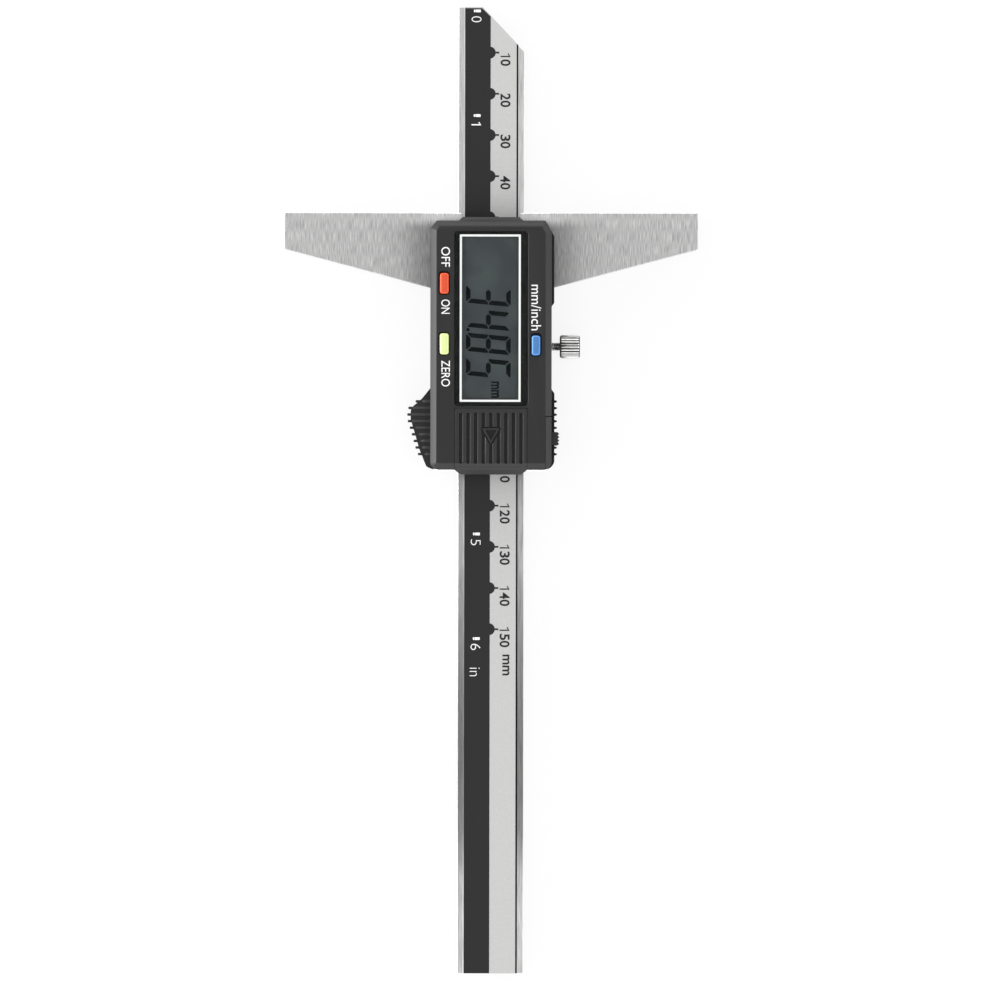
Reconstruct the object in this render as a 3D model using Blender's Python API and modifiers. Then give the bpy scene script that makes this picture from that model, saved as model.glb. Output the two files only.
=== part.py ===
"""Digital depth gauge: a steel blade in a cross base, with a battery display head.

Units are metres. The gauge lies on its back: +X to the right of the display, +Y towards the
tip of the blade, +Z out of the display. The origin is below the middle of the gauge, at its back.
"""

import math

import bmesh
import bpy
from mathutils import Matrix, Vector

# Clearances
FIT = 0.0002
ADHESIVE_FILM = 0.00005
OVERRUN = 0.001
MERGE_DISTANCE = 0.0000002
GRID = 0.0000001

# Blade
BEAM_LENGTH = 0.2346
BEAM_THICKNESS = 0.0035
BEAM_TIP_FLAT = 0.0059
BEAM_TIP_SLOPE_HEIGHT = 0.0108
BEAM_EDGE_CHAMFER = 0.0001
BLADE_OUT = 0.0500
RAIL_WIDTH = 0.0052

# Scale strip let into the blade
STRIP_MARGIN_LEFT = 0.0016
STRIP_MARGIN_RIGHT = 0.0015
STRIP_SIDE_GAP = 0.00025
STRIP_RECESS_DEPTH = 0.0008
SCALE_BOARD_THICKNESS = 0.0005
SCALE_LABEL_THICKNESS = 0.00015

# Steel base with its rails
BASE_SPAN = 0.1004
BASE_END_HEIGHT = 0.0088
BASE_ROOT_HEIGHT = 0.0186
BASE_EDGE_CHAMFER = 0.0001
FRAME_FOOT = 0.0008
LIP_THICKNESS = 0.0009
LIP_OVERLAP = 0.0009
LIP_NOTCH_DEPTH = 0.0028
LIP_NOTCH_RADIUS = 0.0006
READER_WINDOW_SIDE_MARGIN = 0.0013
READER_WINDOW_END_MARGIN = 0.00395
READER_WINDOW_RADIUS = 0.001
READER_THICKNESS = 0.0008

# Back plate and gib
BACK_PLATE_THICKNESS = 0.0012
BACK_PLATE_MARGIN = 0.0008
BACK_PLATE_SETBACK = 0.0005
GIB_THICKNESS = 0.0006
GIB_LENGTH = 0.044

# Screws
PLATE_SCREW_INSET = 0.0026
PLATE_SCREW_DROP = 0.0133
PLATE_SCREW_RISE = 0.00545
PLATE_SCREW_HEAD_RADIUS = 0.0014
PLATE_SCREW_HEAD_HEIGHT = 0.0007
PLATE_SCREW_RADIUS = 0.0008
PLATE_SCREW_LENGTH = 0.0042
HOUSING_SCREW_INSET = 0.0020
HOUSING_SCREW_DROP = 0.0073
HOUSING_SCREW_RISE = 0.00375
HOUSING_SCREW_HEAD_RADIUS = 0.0015
HOUSING_SCREW_HEAD_HEIGHT = 0.0011
HOUSING_SCREW_RADIUS = 0.0009
HOUSING_SCREW_LENGTH = 0.0092
BOARD_SCREW_INSET = 0.0023
BOARD_SCREW_LEFT_DROP = 0.0243
BOARD_SCREW_RIGHT_DROP = 0.0193
BOARD_SCREW_HEAD_RADIUS = 0.0014
BOARD_SCREW_HEAD_HEIGHT = 0.0008
BOARD_SCREW_RADIUS = 0.0007
BOARD_SCREW_LENGTH = 0.0032
GIB_SCREW_OFFSET = 0.007
GIB_SCREW_RADIUS = 0.001
GIB_SCREW_LENGTH = 0.0036

# Lock screw
LOCK_DROP = 0.0324
LOCK_SHANK_RADIUS = 0.001
LOCK_NECK_LENGTH = 0.00155
LOCK_KNOB_RADIUS = 0.0028
LOCK_KNOB_LENGTH = 0.0056
LOCK_KNOB_END_RADIUS = 0.0022
LOCK_KNOB_BEVEL = 0.0006
LOCK_FLUTE_DEPTH = 0.00028
LOCK_FLUTES = 20
LOCK_FLUTE_LAND_SHARE = 0.62
LOCK_FLUTE_FLOOR_SHARE = 0.16

# Moulded front housing
HOUSING_WIDTH = 0.0294
HOUSING_LENGTH = 0.0600
HOUSING_SETBACK = 0.00195
HOUSING_HEIGHT = 0.0140
HOUSING_BEVEL = 0.0015
HOUSING_CORNER_WIDTH = 0.0015
HOUSING_CORNER_HEIGHT = 0.0019
HOUSING_FOOT_RADIUS = 0.0018
HOUSING_SKIRT_Z = 0.0010
WALL = 0.0013
FRONT_WALL = 0.0018
BOSS_RADIUS = 0.0017
TAB_SIDE_GAP = 0.00035
TAB_REACH = 0.00085
TAB_SIDE_SLOPE = 0.0009
TAB_EDGE_HEIGHT = 0.0010
TAB_ROOT_STEP = 0.0002

# Side grips of the housing
GRIP_LENGTH = 0.01945
GRIP_REACH = 0.0048
GRIP_TOP_Z = 0.0100
GRIP_BEVEL = 0.0012
GRIP_OUTLINE_SHARES = (
    (0.000, 0.000),
    (0.147, 0.490),
    (0.246, 0.940),
    (0.347, 1.000),
    (0.410, 0.975),
    (0.595, 0.755),
    (0.770, 0.550),
    (0.846, 0.420),
    (0.933, 0.285),
    (0.967, 0.160),
    (1.000, -0.150),
)
FLANK_REACH = 0.00063
FLANK_TOP_Z = 0.0110
FLANK_UPPER_LENGTH = 0.0212
FLANK_LOWER_LENGTH = 0.0193
FLANK_SHOULDER_DROP = 0.0040
FLANK_STEP = 0.0026
FLANK_SETBACK = 0.00015
FLANK_FOOT_RADIUS = 0.0020
RIB_COUNT = 9
RIB_PITCH = 0.0016
RIB_WIDTH = 0.0005
RIB_HEIGHT = 0.0007
RIB_TOP_HEIGHT = 0.0004
RIB_FIRST_DROP = 0.0438
RIB_FOOT = 0.0006

# Display stack
LENS_SIDE_MARGIN = 0.0057
LENS_TOP_MARGIN = 0.0025
LENS_COVER_GAP = 0.00045
LENS_POCKET_DEPTH = 0.0012
LENS_POCKET_RADIUS = 0.0010
LENS_THICKNESS = 0.0008
VIEW_SIDE_INSET = 0.0008
VIEW_END_INSET = 0.0004
VIEW_RADIUS = 0.0003
LCD_SIDE_MARGIN = 0.0067
LCD_END_INSET = 0.00055
LCD_THICKNESS = 0.0020
HOLDER_WALL = 0.0007
ZEBRA_WIDTH = 0.0014
ZEBRA_END_INSET = 0.0014
ZEBRA_INSET = 0.0002

# Circuit board and what it carries
BOARD_THICKNESS = 0.0008
BOARD_SIDE_GAP = 0.0005
BOARD_END_GAP = 0.0004
TONGUE_WIDTH = 0.0021
TONGUE_LENGTH = 0.0131
CHIP_RADIUS = 0.0032
CHIP_HEIGHT = 0.0012
DOME_RADIUS = 0.0014
DOME_CROWN_RADIUS = 0.0008
DOME_HEIGHT = 0.0004
CONTACT_COUNT = 4
CONTACT_PITCH = 0.0025
CONTACT_LENGTH = 0.0013
CONTACT_WIDTH = 0.0009
CONTACT_THICKNESS = 0.0003
CONTACT_FIRST_RISE = 0.0022

# Push buttons
BUTTON_WIDTH = 0.00225
BUTTON_LENGTH = 0.0052
BUTTON_RADIUS = 0.0006
BUTTON_PROUD = 0.0005
BUTTON_EDGE = 0.0002
BUTTON_FLANGE_OUT = 0.00045
BUTTON_FLANGE_THICKNESS = 0.0008
BUTTON_STEM_WIDTH = 0.0016
BUTTON_TRAVEL = 0.0003
BUTTON_INSET_LEFT = 0.0033
BUTTON_INSET_RIGHT = 0.0038
ON_OFF_DROP = 0.01515
ZERO_DROP = 0.02985
UNIT_DROP = 0.0301

# Battery and its cover
BATTERY_RADIUS = 0.0058
BATTERY_THICKNESS = 0.0054
BATTERY_RISE = 0.0075
BATTERY_RIM_RADIUS = 0.0049
BATTERY_RIM_HEIGHT = 0.0004
MINUS_CONTACT_THICKNESS = 0.00025
MINUS_CONTACT_WIDTH = 0.004
PLUS_CONTACT_THICKNESS = 0.0003
PLUS_CONTACT_WIDTH = 0.0036
PLUS_CONTACT_FOOT = 0.0008
COVER_SIDE_MARGIN = 0.00595
COVER_LENGTH = 0.0145
COVER_THICKNESS = 0.0016
COVER_LEG = 0.0014
COVER_FLANGE_OUT = 0.0010
COVER_FLANGE_THICKNESS = 0.0008
COVER_TAB_REACH = 0.00135
COVER_TAB_SLOPE = 0.0015
COVER_TAB_DROP = 0.0014
COVER_GROOVES = 9
COVER_GROOVE_MARGIN = 0.00098
COVER_GROOVE_WIDTH = 0.0009
COVER_GROOVE_DEPTH = 0.0005
COVER_GROOVE_LENGTH = 0.0122
COVER_GROOVE_RISE = 0.00135
ARROW_WIDTH = 0.0039
ARROW_LENGTH = 0.0034
ARROW_RISE = 0.0094
ARROW_LINE = 0.00045
ARROW_BAR_GAP = 0.0005

# Data port cover
PORT_RISE = 0.0126
PORT_BASE_Z = 0.0065
PORT_CAVITY_WIDTH = 0.0028
PORT_TONGUE_WIDTH = 0.0014
PORT_TONGUE_THICKNESS = 0.0008
PORT_HOOK_WIDTH = 0.0006
PORT_HOOK_HEIGHT = 0.0006
NUB_REACH = 0.0012
NUB_LENGTH = 0.0033
NUB_RISE = 0.0055
NUB_HEIGHT = 0.0036
NUB_GROOVES = 3
NUB_GROOVE_WIDTH = 0.0004
NUB_GROOVE_DEPTH = 0.0003

# Facets of round shapes
CORNER_STEPS = 4
SCREW_SIDES = 16
HOLE_SIDES = 16
BOSS_SIDES = 20
BATTERY_SIDES = 40
KNOB_SIDES = 40
FLAT_ANGLE = math.radians(1)
SHARP_ANGLE = math.radians(30)

# Heights of the stack, from the back of the base to the front of the display
BEAM_LOW_Z = BACK_PLATE_THICKNESS + FIT
BEAM_HIGH_Z = BEAM_LOW_Z + BEAM_THICKNESS
BEAM_MID_Z = (BEAM_LOW_Z + BEAM_HIGH_Z) / 2
LIP_LOW_Z = BEAM_HIGH_Z + FIT
FRAME_TOP_Z = LIP_LOW_Z + LIP_THICKNESS
BOARD_LOW_Z = FRAME_TOP_Z + FIT
BOARD_TOP_Z = BOARD_LOW_Z + BOARD_THICKNESS
ON_BOARD_Z = BOARD_TOP_Z + FIT
CEILING_Z = HOUSING_HEIGHT - FRONT_WALL
SHOULDER_Z = HOUSING_HEIGHT - HOUSING_BEVEL

# Widths, from the outside of the housing in to the blade
HOUSING_HALF = HOUSING_WIDTH / 2
CAVITY_HALF = HOUSING_HALF - WALL
FRAME_HALF = CAVITY_HALF - FIT
BEAM_HALF = FRAME_HALF - RAIL_WIDTH
BEAM_WIDTH = 2 * BEAM_HALF
BACK_PLATE_HALF = FRAME_HALF - BACK_PLATE_MARGIN
BOARD_HALF = CAVITY_HALF - BOARD_SIDE_GAP
SLOT_LEFT_X = -BEAM_HALF - FIT
GIB_LEFT_X = BEAM_HALF + FIT
SLOT_RIGHT_X = GIB_LEFT_X + GIB_THICKNESS + FIT
LIP_HALF = BEAM_HALF - LIP_OVERLAP
TAB_HALF = LIP_HALF - TAB_SIDE_GAP
READER_WINDOW_WIDTH = BEAM_WIDTH - 2 * READER_WINDOW_SIDE_MARGIN
LENS_POCKET_WIDTH = HOUSING_WIDTH - 2 * LENS_SIDE_MARGIN
LCD_WIDTH = HOUSING_WIDTH - 2 * LCD_SIDE_MARGIN
VIEW_WIDTH = LCD_WIDTH - 2 * VIEW_SIDE_INSET
COVER_HALF = HOUSING_HALF - COVER_SIDE_MARGIN
COVER_GROOVE_SPAN = 2 * (COVER_HALF - COVER_GROOVE_MARGIN) - COVER_GROOVE_WIDTH
COVER_GROOVE_PITCH = COVER_GROOVE_SPAN / (COVER_GROOVES - 1)

# Places along the gauge
TIP_Y = BEAM_LENGTH / 2
REFERENCE_Y = TIP_Y - BLADE_OUT
WING_ROOT_Y = REFERENCE_Y - BASE_ROOT_HEIGHT
HOUSING_TOP_Y = REFERENCE_Y - HOUSING_SETBACK
HOUSING_LOW_Y = HOUSING_TOP_Y - HOUSING_LENGTH
FRAME_LOW_Y = HOUSING_LOW_Y - FRAME_FOOT
LOCK_Y = REFERENCE_Y - LOCK_DROP
COVER_TOP_Y = HOUSING_LOW_Y + COVER_LENGTH
LENS_POCKET_LENGTH = HOUSING_TOP_Y - LENS_TOP_MARGIN - COVER_TOP_Y - LENS_COVER_GAP
DISPLAY_Y = HOUSING_TOP_Y - LENS_TOP_MARGIN - LENS_POCKET_LENGTH / 2
LCD_LENGTH = LENS_POCKET_LENGTH - 2 * LCD_END_INSET
VIEW_LENGTH = LCD_LENGTH - 2 * VIEW_END_INSET
ZEBRA_LENGTH = LCD_LENGTH - 2 * ZEBRA_END_INSET
READER_WINDOW_LENGTH = LENS_POCKET_LENGTH - 2 * READER_WINDOW_END_MARGIN
BATTERY_Y = HOUSING_LOW_Y + BATTERY_RISE
PORT_TOP_Y = HOUSING_LOW_Y + PORT_RISE
CAVITY_LOW_Y = COVER_TOP_Y - FIT
CAVITY_TOP_Y = HOUSING_TOP_Y - WALL
BATTERY_LOW_Z = BOARD_LOW_Z + FIT + MINUS_CONTACT_THICKNESS + FIT
GRIP_TOP_Y = HOUSING_LOW_Y + GRIP_LENGTH
RIB_TOP_Y = HOUSING_TOP_Y - RIB_FIRST_DROP

# How the outline of a prism lies when its thickness runs along each axis
AXIS_TURNS = {
    "X": Matrix(((0, 0, 1), (1, 0, 0), (0, 1, 0))).to_4x4(),
    "Y": Matrix(((1, 0, 0), (0, 0, -1), (0, 1, 0))).to_4x4(),
    "Z": Matrix.Identity(4),
}


# Scene and collections

def clear_scene():
    for item in list(bpy.data.objects):
        bpy.data.objects.remove(item, do_unlink=True)
    for group in list(bpy.data.collections):
        bpy.data.collections.remove(group)


def new_collection(name):
    group = bpy.data.collections.new(name)
    bpy.context.scene.collection.children.link(group)
    return group


# Shape tools

def tidy(mesh):
    """Set vertices on one fine grid, merge those that meet and turn the faces outwards."""
    work = bmesh.new()
    work.from_mesh(mesh)
    for vertex in work.verts:
        vertex.co = [round(place / GRID) * GRID for place in vertex.co]
    bmesh.ops.remove_doubles(work, verts=work.verts, dist=MERGE_DISTANCE)
    bmesh.ops.dissolve_degenerate(work, edges=work.edges, dist=MERGE_DISTANCE)
    bmesh.ops.recalc_face_normals(work, faces=work.faces)
    work.to_mesh(mesh)
    work.free()


def new_piece(name, mesh):
    tidy(mesh)
    piece = bpy.data.objects.new(name, mesh)
    bpy.context.scene.collection.objects.link(piece)
    return piece


def piece_from_work(name, work):
    mesh = bpy.data.meshes.new(name)
    work.to_mesh(mesh)
    work.free()
    return new_piece(name, mesh)


def evaluated_mesh(piece):
    graph = bpy.context.evaluated_depsgraph_get()
    return bpy.data.meshes.new_from_object(piece.evaluated_get(graph))


def bake(piece):
    """Keep the shape that the piece's modifiers make, without the modifiers."""
    mesh = evaluated_mesh(piece)
    piece.modifiers.clear()
    piece.data = mesh
    tidy(mesh)
    return piece


def box(name, x, y, z):
    """A block between a low and a high place on each axis."""
    work = bmesh.new()
    bmesh.ops.create_cube(work, size=1)
    size = Vector((x[1] - x[0], y[1] - y[0], z[1] - z[0]))
    middle = Vector((x[0] + x[1], y[0] + y[1], z[0] + z[1])) / 2
    bmesh.ops.scale(work, vec=size, verts=work.verts)
    bmesh.ops.translate(work, vec=middle, verts=work.verts)
    return piece_from_work(name, work)


def rod(name, radius, start, end, sides=SCREW_SIDES, end_radius=None):
    """A round bar from one point to another, or a cone where the radii differ."""
    start = Vector(start)
    end = Vector(end)
    along = end - start
    turn = along.to_track_quat("Z", "Y").to_matrix().to_4x4()
    work = bmesh.new()
    bmesh.ops.create_cone(
        work,
        cap_ends=True,
        segments=sides,
        radius1=radius,
        radius2=radius if end_radius is None else end_radius,
        depth=along.length,
        matrix=Matrix.Translation((start + end) / 2) @ turn,
    )
    return piece_from_work(name, work)


def prism(name, outline, low, high, axis="Z"):
    """A flat outline with its thickness along one axis, drawn in the other two in X, Y, Z order."""
    curve = bpy.data.curves.new(name, "CURVE")
    curve.dimensions = "2D"
    curve.fill_mode = "BOTH"
    curve.extrude = (high - low) / 2
    spline = curve.splines.new("POLY")
    spline.points.add(len(outline) - 1)
    for point, (across, up) in zip(spline.points, outline):
        point.co = (across, up, 0, 1)
    spline.use_cyclic_u = True
    guide = bpy.data.objects.new(name, curve)
    bpy.context.scene.collection.objects.link(guide)
    mesh = evaluated_mesh(guide)
    bpy.data.objects.remove(guide)
    middle = Vector([(low + high) / 2 if axis == letter else 0 for letter in "XYZ"])
    mesh.transform(Matrix.Translation(middle) @ AXIS_TURNS[axis])
    return new_piece(name, mesh)


def turned(name, profile, centre, axis="Z", sides=SCREW_SIDES):
    """A turned shape from (radius, height) points that run from the top of its axis to the bottom."""
    work = bmesh.new()
    corners = [work.verts.new((radius, 0, height)) for radius, height in profile]
    for first, second in zip(corners, corners[1:]):
        work.edges.new((first, second))
    mesh = bpy.data.meshes.new(name)
    work.to_mesh(mesh)
    work.free()
    guide = bpy.data.objects.new(name, mesh)
    bpy.context.scene.collection.objects.link(guide)
    screw = guide.modifiers.new("turn", "SCREW")
    screw.steps = sides
    screw.render_steps = sides
    screw.use_merge_vertices = True
    screw.merge_threshold = MERGE_DISTANCE
    mesh = evaluated_mesh(guide)
    bpy.data.objects.remove(guide)
    mesh.transform(Matrix.Translation(centre) @ AXIS_TURNS[axis])
    return new_piece(name, mesh)


def combine(piece, tools, operation):
    """Cut, join or intersect a piece with tools, which are used up."""
    for tool in tools:
        step = piece.modifiers.new(tool.name, "BOOLEAN")
        step.operation = operation
        step.object = tool
    bake(piece)
    for tool in tools:
        bpy.data.objects.remove(tool)
    return piece


def cut(piece, *tools):
    return combine(piece, tools, "DIFFERENCE")


def join(piece, *tools):
    return combine(piece, tools, "UNION")


def keep_common(piece, *tools):
    return combine(piece, tools, "INTERSECT")


def chamfer(piece, width):
    """Break every sharp edge of a piece, once its flat faces are whole again."""
    work = bmesh.new()
    work.from_mesh(piece.data)
    bmesh.ops.dissolve_limit(work, angle_limit=FLAT_ANGLE, verts=work.verts, edges=work.edges)
    work.to_mesh(piece.data)
    work.free()
    edge = piece.modifiers.new("chamfer", "BEVEL")
    edge.width = width
    edge.segments = 1
    edge.limit_method = "ANGLE"
    return bake(piece)


def slope_top(piece, width, height):
    """Raise the top face of a prism and draw it in, which leaves a sloping edge round it."""
    work = bmesh.new()
    work.from_mesh(piece.data)
    top = max(vertex.co.z for vertex in work.verts)
    caps = [face for face in work.faces if face.calc_center_median().z > top - MERGE_DISTANCE]
    cap = bmesh.ops.dissolve_faces(work, faces=caps)["region"]
    bmesh.ops.inset_region(work, faces=cap, thickness=width, depth=height, use_even_offset=True)
    work.to_mesh(piece.data)
    work.free()
    tidy(piece.data)
    return piece


def around(middle, size):
    """The low and high places of a size centred on a place."""
    return (middle - size / 2, middle + size / 2)


def rounded_rectangle(x, y, radius):
    """A rectangle's outline with round corners, from arcs of a few steps."""
    corners = (
        (x[1] - radius, y[1] - radius),
        (x[0] + radius, y[1] - radius),
        (x[0] + radius, y[0] + radius),
        (x[1] - radius, y[0] + radius),
    )
    outline = []
    for quarter, (centre_x, centre_y) in enumerate(corners):
        for step in range(CORNER_STEPS + 1):
            angle = math.pi / 2 * (quarter + step / CORNER_STEPS)
            outline.append((centre_x + radius * math.cos(angle), centre_y + radius * math.sin(angle)))
    return outline


def mirrored(outline):
    """An outline's right half, top to bottom, followed by its mirror image."""
    return outline + [(-x, y) for x, y in reversed(outline)]


# Screws

def countersunk_screw(name, x, y, face_z):
    """A flat-headed screw driven in from the back of the gauge."""
    head_z = face_z + PLATE_SCREW_HEAD_HEIGHT
    tip_z = face_z + PLATE_SCREW_LENGTH
    profile = (
        (0, tip_z),
        (PLATE_SCREW_RADIUS, tip_z),
        (PLATE_SCREW_RADIUS, head_z),
        (PLATE_SCREW_HEAD_RADIUS, face_z),
        (0, face_z),
    )
    return turned(name, profile, (x, y, 0))


def pan_screw(name, x, y, seat_z, head_radius, head_height, radius, length, up):
    """A screw whose flat head rests at seat_z and whose shank runs up or down from there."""
    direction = 1 if up else -1
    head = rod(name, head_radius, (x, y, seat_z), (x, y, seat_z - direction * head_height))
    shank = rod("shank", radius, (x, y, seat_z - direction * head_height / 2),
                (x, y, seat_z + direction * length))
    return join(head, shank)


def plate_screw_places():
    x = FRAME_HALF - PLATE_SCREW_INSET
    heights = (REFERENCE_Y - PLATE_SCREW_DROP, FRAME_LOW_Y + PLATE_SCREW_RISE)
    return [(side * x, y) for y in heights for side in (-1, 1)]


def housing_screw_places():
    x = FRAME_HALF - HOUSING_SCREW_INSET
    heights = (REFERENCE_Y - HOUSING_SCREW_DROP, COVER_TOP_Y + HOUSING_SCREW_RISE)
    return [(side * x, y) for y in heights for side in (-1, 1)]


def board_screw_places():
    x = FRAME_HALF - BOARD_SCREW_INSET
    return [(-x, REFERENCE_Y - BOARD_SCREW_LEFT_DROP), (x, REFERENCE_Y - BOARD_SCREW_RIGHT_DROP)]


def gib_screw_heights():
    return (LOCK_Y - GIB_SCREW_OFFSET, LOCK_Y + GIB_SCREW_OFFSET)


def button_places():
    """Where each push button sits: its name, x and y."""
    left = -HOUSING_HALF + BUTTON_INSET_LEFT
    right = HOUSING_HALF - BUTTON_INSET_RIGHT
    return (
        ("on_off_button", left, HOUSING_TOP_Y - ON_OFF_DROP),
        ("zero_button", left, HOUSING_TOP_Y - ZERO_DROP),
        ("unit_button", right, HOUSING_TOP_Y - UNIT_DROP),
    )


# Blade and scale

def blade_outline(left, right):
    """The blade's outline between two sides, with the slanted tip."""
    flat_x = -BEAM_HALF + BEAM_TIP_FLAT
    fall = BEAM_TIP_SLOPE_HEIGHT / (BEAM_WIDTH - BEAM_TIP_FLAT)
    return [
        (left, -TIP_Y),
        (right, -TIP_Y),
        (right, TIP_Y - fall * (right - flat_x)),
        (flat_x, TIP_Y),
        (left, TIP_Y),
    ]


def make_beam():
    beam = prism("beam", blade_outline(-BEAM_HALF, BEAM_HALF), BEAM_LOW_Z, BEAM_HIGH_Z)
    chamfer(beam, BEAM_EDGE_CHAMFER)
    recess = box(
        "recess",
        (-BEAM_HALF + STRIP_MARGIN_LEFT, BEAM_HALF - STRIP_MARGIN_RIGHT),
        (-TIP_Y - OVERRUN, TIP_Y + OVERRUN),
        (BEAM_HIGH_Z - STRIP_RECESS_DEPTH, BEAM_HIGH_Z + OVERRUN),
    )
    return cut(beam, recess)


def make_scale():
    """The circuit strip in the blade's recess and the printed film on it."""
    left = -BEAM_HALF + STRIP_MARGIN_LEFT + ADHESIVE_FILM
    right = BEAM_HALF - STRIP_MARGIN_RIGHT - STRIP_SIDE_GAP
    board_z = BEAM_HIGH_Z - STRIP_RECESS_DEPTH + ADHESIVE_FILM
    label_z = board_z + SCALE_BOARD_THICKNESS + ADHESIVE_FILM
    outline = blade_outline(left, right)
    board = prism("scale_board", outline, board_z, board_z + SCALE_BOARD_THICKNESS)
    label = prism("scale_label", outline, label_z, label_z + SCALE_LABEL_THICKNESS)
    return [board, label]


# Base, back plate and gib

def base_outline():
    half = BASE_SPAN / 2
    right = [
        (half, REFERENCE_Y),
        (half, REFERENCE_Y - BASE_END_HEIGHT),
        (FRAME_HALF, WING_ROOT_Y),
        (FRAME_HALF, FRAME_LOW_Y),
    ]
    return mirrored(right)


def make_base_frame():
    frame = prism("base_frame", base_outline(), 0, FRAME_TOP_Z)
    chamfer(frame, BASE_EDGE_CHAMFER)
    length = (FRAME_LOW_Y - OVERRUN, REFERENCE_Y + OVERRUN)
    slot = box("slot", (SLOT_LEFT_X, SLOT_RIGHT_X), length, (-OVERRUN, LIP_LOW_Z))
    plate_half = BACK_PLATE_HALF + FIT
    plate_seat = box("plate_seat", (-plate_half, plate_half), length, (-OVERRUN, BEAM_LOW_Z))
    notch_outline = rounded_rectangle(
        (-LIP_HALF, LIP_HALF),
        (REFERENCE_Y - LIP_NOTCH_DEPTH, REFERENCE_Y + LIP_NOTCH_DEPTH),
        LIP_NOTCH_RADIUS,
    )
    above = FRAME_TOP_Z + OVERRUN
    notch = prism("notch", notch_outline, BEAM_MID_Z, above)
    window_outline = rounded_rectangle(
        around(0, READER_WINDOW_WIDTH),
        around(DISPLAY_Y, READER_WINDOW_LENGTH),
        READER_WINDOW_RADIUS,
    )
    window = prism("window", window_outline, BEAM_MID_Z, above)
    cut(frame, slot, plate_seat, notch, window)
    return cut(frame, *frame_holes())


def frame_holes():
    """The screw holes of the base, each a clearance wider than its screw."""
    holes = []
    for x, y in plate_screw_places():
        top = PLATE_SCREW_LENGTH + FIT
        holes.append(rod("hole", PLATE_SCREW_RADIUS + FIT, (x, y, -OVERRUN), (x, y, top), HOLE_SIDES))
    head_top = BEAM_LOW_Z + HOUSING_SCREW_HEAD_HEIGHT + 2 * FIT
    for x, y in housing_screw_places():
        head_radius = HOUSING_SCREW_HEAD_RADIUS + FIT
        shank_radius = HOUSING_SCREW_RADIUS + FIT
        holes.append(rod("hole", head_radius, (x, y, -OVERRUN), (x, y, head_top), HOLE_SIDES))
        holes.append(rod("hole", shank_radius, (x, y, BEAM_LOW_Z), (x, y, FRAME_TOP_Z + OVERRUN), HOLE_SIDES))
    for x, y in board_screw_places():
        low = BOARD_TOP_Z - BOARD_SCREW_LENGTH
        radius = BOARD_SCREW_RADIUS + FIT
        holes.append(rod("hole", radius, (x, y, low), (x, y, FRAME_TOP_Z + OVERRUN), HOLE_SIDES))
    inside = SLOT_RIGHT_X - OVERRUN
    outside = FRAME_HALF + OVERRUN
    lock_radius = LOCK_SHANK_RADIUS + FIT
    holes.append(
        rod("hole", lock_radius, (inside, LOCK_Y, BEAM_MID_Z), (outside, LOCK_Y, BEAM_MID_Z), HOLE_SIDES)
    )
    for y in gib_screw_heights():
        radius = GIB_SCREW_RADIUS + FIT
        holes.append(rod("hole", radius, (inside, y, BEAM_MID_Z), (outside, y, BEAM_MID_Z), HOLE_SIDES))
    return holes


def make_back_plate():
    top = REFERENCE_Y - BACK_PLATE_SETBACK
    width = (-BACK_PLATE_HALF, BACK_PLATE_HALF)
    plate = box("back_plate", width, (FRAME_LOW_Y, top), (0, BACK_PLATE_THICKNESS))
    holes = []
    for x, y in plate_screw_places():
        radius = PLATE_SCREW_RADIUS + FIT
        through = BACK_PLATE_THICKNESS + OVERRUN
        holes.append(rod("hole", radius, (x, y, -OVERRUN), (x, y, through), HOLE_SIDES))
        seat = PLATE_SCREW_HEAD_HEIGHT + FIT
        holes.append(
            rod("sink", PLATE_SCREW_HEAD_RADIUS + FIT, (x, y, 0), (x, y, seat), HOLE_SIDES, radius)
        )
    for hole in holes:
        cut(plate, hole)
    return plate


def make_back_plate_screws():
    places = enumerate(plate_screw_places(), start=1)
    return [countersunk_screw(f"back_plate_screw_{number}", x, y, 0) for number, (x, y) in places]


def make_gib():
    """The strip that takes up the play of the blade, and its two set screws."""
    x = (GIB_LEFT_X, GIB_LEFT_X + GIB_THICKNESS)
    strip = box("gib_strip", x, around(LOCK_Y, GIB_LENGTH), (BEAM_LOW_Z, BEAM_HIGH_Z))
    screws = []
    for number, y in enumerate(gib_screw_heights(), start=1):
        start = (SLOT_RIGHT_X, y, BEAM_MID_Z)
        end = (SLOT_RIGHT_X + GIB_SCREW_LENGTH, y, BEAM_MID_Z)
        screws.append(rod(f"gib_screw_{number}", GIB_SCREW_RADIUS, start, end))
    return [strip] + screws


# Lock screw

def fluted_outline():
    """The knob's straight knurl: lands and grooves in turn round the axis."""
    outline = []
    pitch = 2 * math.pi / LOCK_FLUTES
    inner = LOCK_KNOB_RADIUS - LOCK_FLUTE_DEPTH
    gap = (1 - LOCK_FLUTE_LAND_SHARE - LOCK_FLUTE_FLOOR_SHARE) / 2
    turns = (
        (0, LOCK_KNOB_RADIUS),
        (LOCK_FLUTE_LAND_SHARE, LOCK_KNOB_RADIUS),
        (LOCK_FLUTE_LAND_SHARE + gap, inner),
        (1 - gap, inner),
    )
    for flute in range(LOCK_FLUTES):
        for share, radius in turns:
            angle = pitch * (flute + share)
            outline.append((LOCK_Y + radius * math.cos(angle), BEAM_MID_Z + radius * math.sin(angle)))
    return outline


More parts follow.
